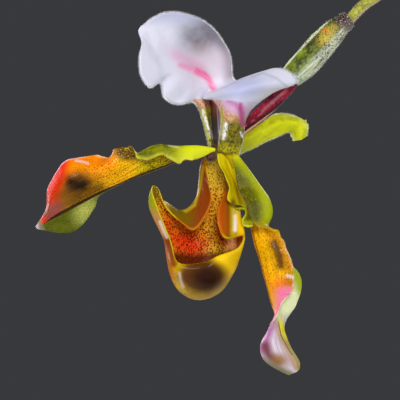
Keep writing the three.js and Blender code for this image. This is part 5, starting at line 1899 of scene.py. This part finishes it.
def chunk(seed, rings=9, sides=14):
    """Unit block of bark, five-sided and rough, with its length along Y"""
    random = np.random.default_rng(seed)
    corners = random.uniform(0.9, 1.08, 5)
    points = []
    for i in range(rings):
        y = i / (rings - 1) - 0.5
        end = min(1.0, 0.62 + 3.2 * min(i, rings - 1 - i) / (rings - 1))
        for j in range(sides):
            angle = j / sides * 2 * math.pi
            spoke = angle / (2 * math.pi) * 5
            k = int(spoke) % 5
            f = spoke - int(spoke)
            flat = math.cos(math.pi / 5) / math.cos((f - 0.5) * 2 * math.pi / 5)
            reach = flat * (corners[k] * (1 - f) + corners[(k + 1) % 5] * f)
            r = 0.46 * reach * end * random.uniform(0.93, 1.05)
            points.append([r * math.sin(angle), y * random.uniform(0.94, 1.0), r * math.cos(angle)])
    points += [[0, -0.47, 0], [0, 0.47, 0]]
    faces = []
    for j in range(sides):
        k = (j + 1) % sides
        for i in range(rings - 1):
            faces.append([i * sides + j, (i + 1) * sides + j, (i + 1) * sides + k, i * sides + k])
        faces.append([len(points) - 2, j, k])
        faces.append([len(points) - 1, (rings - 1) * sides + k, (rings - 1) * sides + j])
    return np.array(points), faces


def inner(z):
    """Radius of the pot's inside at a height, less the clearance"""
    return wall_radius(z) - POT_WALL - CLEARANCE


def from_hole(x, y, grown=0):
    """Square of the distance from the fan's hole, 1 at its edge; the hole may be grown"""
    c, s = math.cos(FAN_TURN), math.sin(FAN_TURN)
    a = (x * c + y * s) / (HOLE_HALF_LENGTH + grown)
    b = (y * c - x * s) / (HOLE_HALF_WIDTH + grown)
    return a * a + b * b


class ORCHID_OT_mix(Maker, bpy.types.Operator):
    """Makes the potting mix: a plug of crumbs with bark chips on it"""

    bl_idname = "orchid.mix"
    bl_label = "Potting mix"

    def make(self, context):
        plant = context.scene.orchid_plant
        self.plug(bark_finish(plant, "bark_crumbs", 0.95))
        chips = bark_finish(plant, "bark_chips", 0.75)
        self.points, self.faces, self.total = [], [], 0
        self.large_chips()
        self.small_chips()
        points = np.concatenate(self.points)
        new_piece("potting_mix_chips", points, self.faces, [chips], None, smooth=False)

    def plug(self, crumbs):
        """The mix itself, with a lumpy top that sinks in at the fan of leaves"""
        floor = POT_FLOOR + CLEARANCE
        side = [(inner(z), z) for z in np.linspace(floor, MIX_TOP - 2 * MM, 12)]
        spokes = np.linspace(inner(MIX_TOP) * 0.98, 0.4 * MM, 60)
        top = [(r, MIX_TOP - 2 * MM * (r / inner(MIX_TOP)) ** 2) for r in spokes]
        profile = np.array([(0.4 * MM, floor), *side, *top])
        points, faces = turned(profile, MIX_SIDES)
        x, y = points[:, 0], points[:, 1]
        hole = np.clip((1.15 - np.sqrt(from_hole(x, y))) / 0.3, 0, 1)
        is_top = points[:, 2] > MIX_TOP - 3 * MM
        lumps = sum(
            np.sin(x * a + b) * np.sin(y * c + d)
            for a, b, c, d in ((900, 1, 1100, 2), (1700, 3, 1500, 1), (2600, 0, 2900, 2))
        )
        raised = lumps * 0.5 * MM * np.clip((inner(MIX_TOP) - np.hypot(x, y)) / (3 * MM), 0, 1)
        points[:, 2] += np.where(is_top, raised - hole * HOLE_DEPTH * 0.93, 0)
        points = np.concatenate([points, [[0, 0, floor], [0, 0, points[-1, 2]]]])
        close_ends(faces, len(points), MIX_SIDES)
        new_piece("potting_mix_plug", points, faces, [crumbs], "potting_mix")

    def lay(self, shape, faces):
        """Adds one chip"""
        self.points.append(shape)
        self.faces.extend([[corner + self.total for corner in face] for face in faces])
        self.total += len(shape)

    def large_chips(self):
        """The chips of the solid, rougher"""
        numbers = seeded(7)
        reach = inner(MIX_TOP) - CHIP_LENGTH * 0.62
        for k in range(CHIP_COUNT):
            ring = math.sqrt((k + 0.5) / CHIP_COUNT) * reach
            angle = k * CHIP_TURN
            size = CHIP_LENGTH * (0.6 + 0.4 * next(numbers))
            scale = (size * (0.42 + 0.2 * next(numbers)), size, size * (0.55 + 0.3 * next(numbers)))
            lean_x = (next(numbers) - 0.5) * CHIP_TILT
            lean_y = (next(numbers) - 0.5) * CHIP_TILT
            spin = next(numbers) * math.pi
            height = MIX_TOP - 0.4 * MM + next(numbers) * 2 * MM
            x, y = ring * math.cos(angle), ring * math.sin(angle)
            if from_hole(x, y, 4 * MM) < 1:
                continue
            shape, faces = chunk(100 + k)
            shape = turned_by(shape * scale * 0.97, lean_x, lean_y, spin)
            self.lay(shape + [x, y, height], faces)

    def small_chips(self):
        """Crumbs of bark between the chips"""
        random = np.random.default_rng(9)
        for k in range(CRUMB_COUNT):
            ring = math.sqrt(random.random()) * (inner(MIX_TOP) - 3.5 * MM)
            angle = random.uniform(0, 2 * math.pi)
            x, y = ring * math.cos(angle), ring * math.sin(angle)
            size = random.uniform(2.5, 6.5) * MM
            if from_hole(x, y, size * 0.4) < 1:
                continue
            shape, faces = chunk(500 + k, 5, 8)
            scale = np.array([random.uniform(0.4, 0.8), 1, random.uniform(0.4, 0.7)]) * size
            shape = turned_by(shape * scale, *random.uniform(-0.7, 0.7, 2), random.uniform(0, math.pi))
            self.lay(shape + [x, y, MIX_TOP + random.uniform(-0.5, 2.2) * MM], faces)


def area_light(name, place, target, size, power, colour):
    """A square soft light that looks at a point"""
    lamp = bpy.data.lights.new(name, "AREA")
    lamp.shape = "SQUARE"
    lamp.size = size
    lamp.energy = power
    lamp.color = colour
    light = bpy.data.objects.new(name, lamp)
    light.location = place
    light.rotation_euler = (Vector(target) - Vector(place)).to_track_quat("-Z", "Y").to_euler()
    bpy.context.scene.collection.objects.link(light)


class ORCHID_OT_stage(Maker, bpy.types.Operator):
    """Lays the floor and sets the light and the camera"""

    bl_idname = "orchid.stage"
    bl_label = "Floor, light and camera"

    def make(self, context):
        scene = context.scene
        look = scene.orchid_stage
        self.floor(scene, look)
        self.lights(scene, look)
        self.camera(scene)

    def floor(self, scene, look):
        """A pale round floor"""
        ring = circle(FLOOR_SIDES) * look.floor_size
        mesh = bpy.data.meshes.new("floor")
        mesh.from_pydata(ring.tolist(), [], [list(range(FLOOR_SIDES))])
        mesh.materials.append(floor_finish().material)
        floor = bpy.data.objects.new("floor", mesh)
        scene.collection.objects.link(floor)

    def lights(self, scene, look):
        """Soft lights round the plant, and a dark surround"""
        flower = (GRID_X, 0.0, GRID_Z)
        plant = (0.0, 0.0, 0.16)
        area_light("key", (-0.72, -0.72, 0.86), flower, 0.3, look.key_power, (1.0, 0.98, 0.95))
        area_light("front", (-0.03, -0.88, 0.55), flower, 0.25, look.fill_power, (0.98, 0.98, 1.0))
        area_light("rim_left", (-0.75, 0.6, 0.55), flower, 0.35, look.rim_power, (1.0, 1.0, 1.0))
        area_light("rim_right", (0.5, 0.6, 0.85), flower, 0.35, look.rim_power, (1.0, 1.0, 1.0))
        area_light("low_fill", (0.8, -0.9, 0.7), plant, 0.8, look.fill_power, (1.0, 1.0, 1.0))
        world = bpy.data.worlds.new("studio")
        scene.world = world
        world.use_nodes = True
        ground = world.node_tree.nodes["Background"]
        ground.inputs["Color"].default_value = (0.04, 0.041, 0.045, 1)
        ground.inputs["Strength"].default_value = 1.0
        scene.view_settings.view_transform = "Standard"

    def camera(self, scene):
        """A long lens that sees the grid and no more"""
        lens = bpy.data.cameras.new("camera")
        lens.lens = LENS
        lens.sensor_width = LENS * GRID_STEP * STEPS / EYE_DISTANCE
        lens.clip_start = 0.02
        camera = bpy.data.objects.new("camera", lens)
        camera.location = (GRID_X, -EYE_DISTANCE, GRID_Z)
        camera.rotation_euler = (math.pi / 2, 0, 0)
        scene.collection.objects.link(camera)
        scene.camera = camera


MAKERS = (
    ORCHID_OT_stage,
    ORCHID_OT_pot,
    ORCHID_OT_mix,
    ORCHID_OT_leaves,
    ORCHID_OT_stem,
    ORCHID_OT_ovary_and_bract,
    ORCHID_OT_centre,
    ORCHID_OT_dorsal_sepal,
    ORCHID_OT_petals,
    ORCHID_OT_synsepal,
    ORCHID_OT_pouch,
)


class ORCHID_PT_panel(bpy.types.Panel):
    """Lists the looks and the steps"""

    bl_label = "Potted slipper orchid"
    bl_idname = "ORCHID_PT_panel"
    bl_space_type = "VIEW_3D"
    bl_region_type = "UI"
    bl_category = "Orchid"

    def draw(self, context):
        for title, look in (
            ("Flower", context.scene.orchid_flower),
            ("Plant and pot", context.scene.orchid_plant),
            ("Stage", context.scene.orchid_stage),
        ):
            box = self.layout.box()
            box.label(text=title)
            for key in look.__annotations__:
                box.prop(look, key)
        steps = self.layout.column(align=True)
        for maker in MAKERS:
            steps.operator(maker.bl_idname)


CLASSES = (FlowerLook, PlantLook, StageLook, *MAKERS, ORCHID_PT_panel)


def register():
    for each in CLASSES:
        bpy.utils.register_class(each)
    bpy.types.Scene.orchid_flower = PointerProperty(type=FlowerLook)
    bpy.types.Scene.orchid_plant = PointerProperty(type=PlantLook)
    bpy.types.Scene.orchid_stage = PointerProperty(type=StageLook)


def unregister():
    del bpy.types.Scene.orchid_stage
    del bpy.types.Scene.orchid_plant
    del bpy.types.Scene.orchid_flower
    for each in reversed(CLASSES):
        bpy.utils.unregister_class(each)


def main():
    """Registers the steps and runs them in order"""
    register()
    for maker in MAKERS:
        group, step = maker.bl_idname.split(".")
        getattr(getattr(bpy.ops, group), step)()
    bpy.context.view_layer.update()


if __name__ == "__main__":
    main()
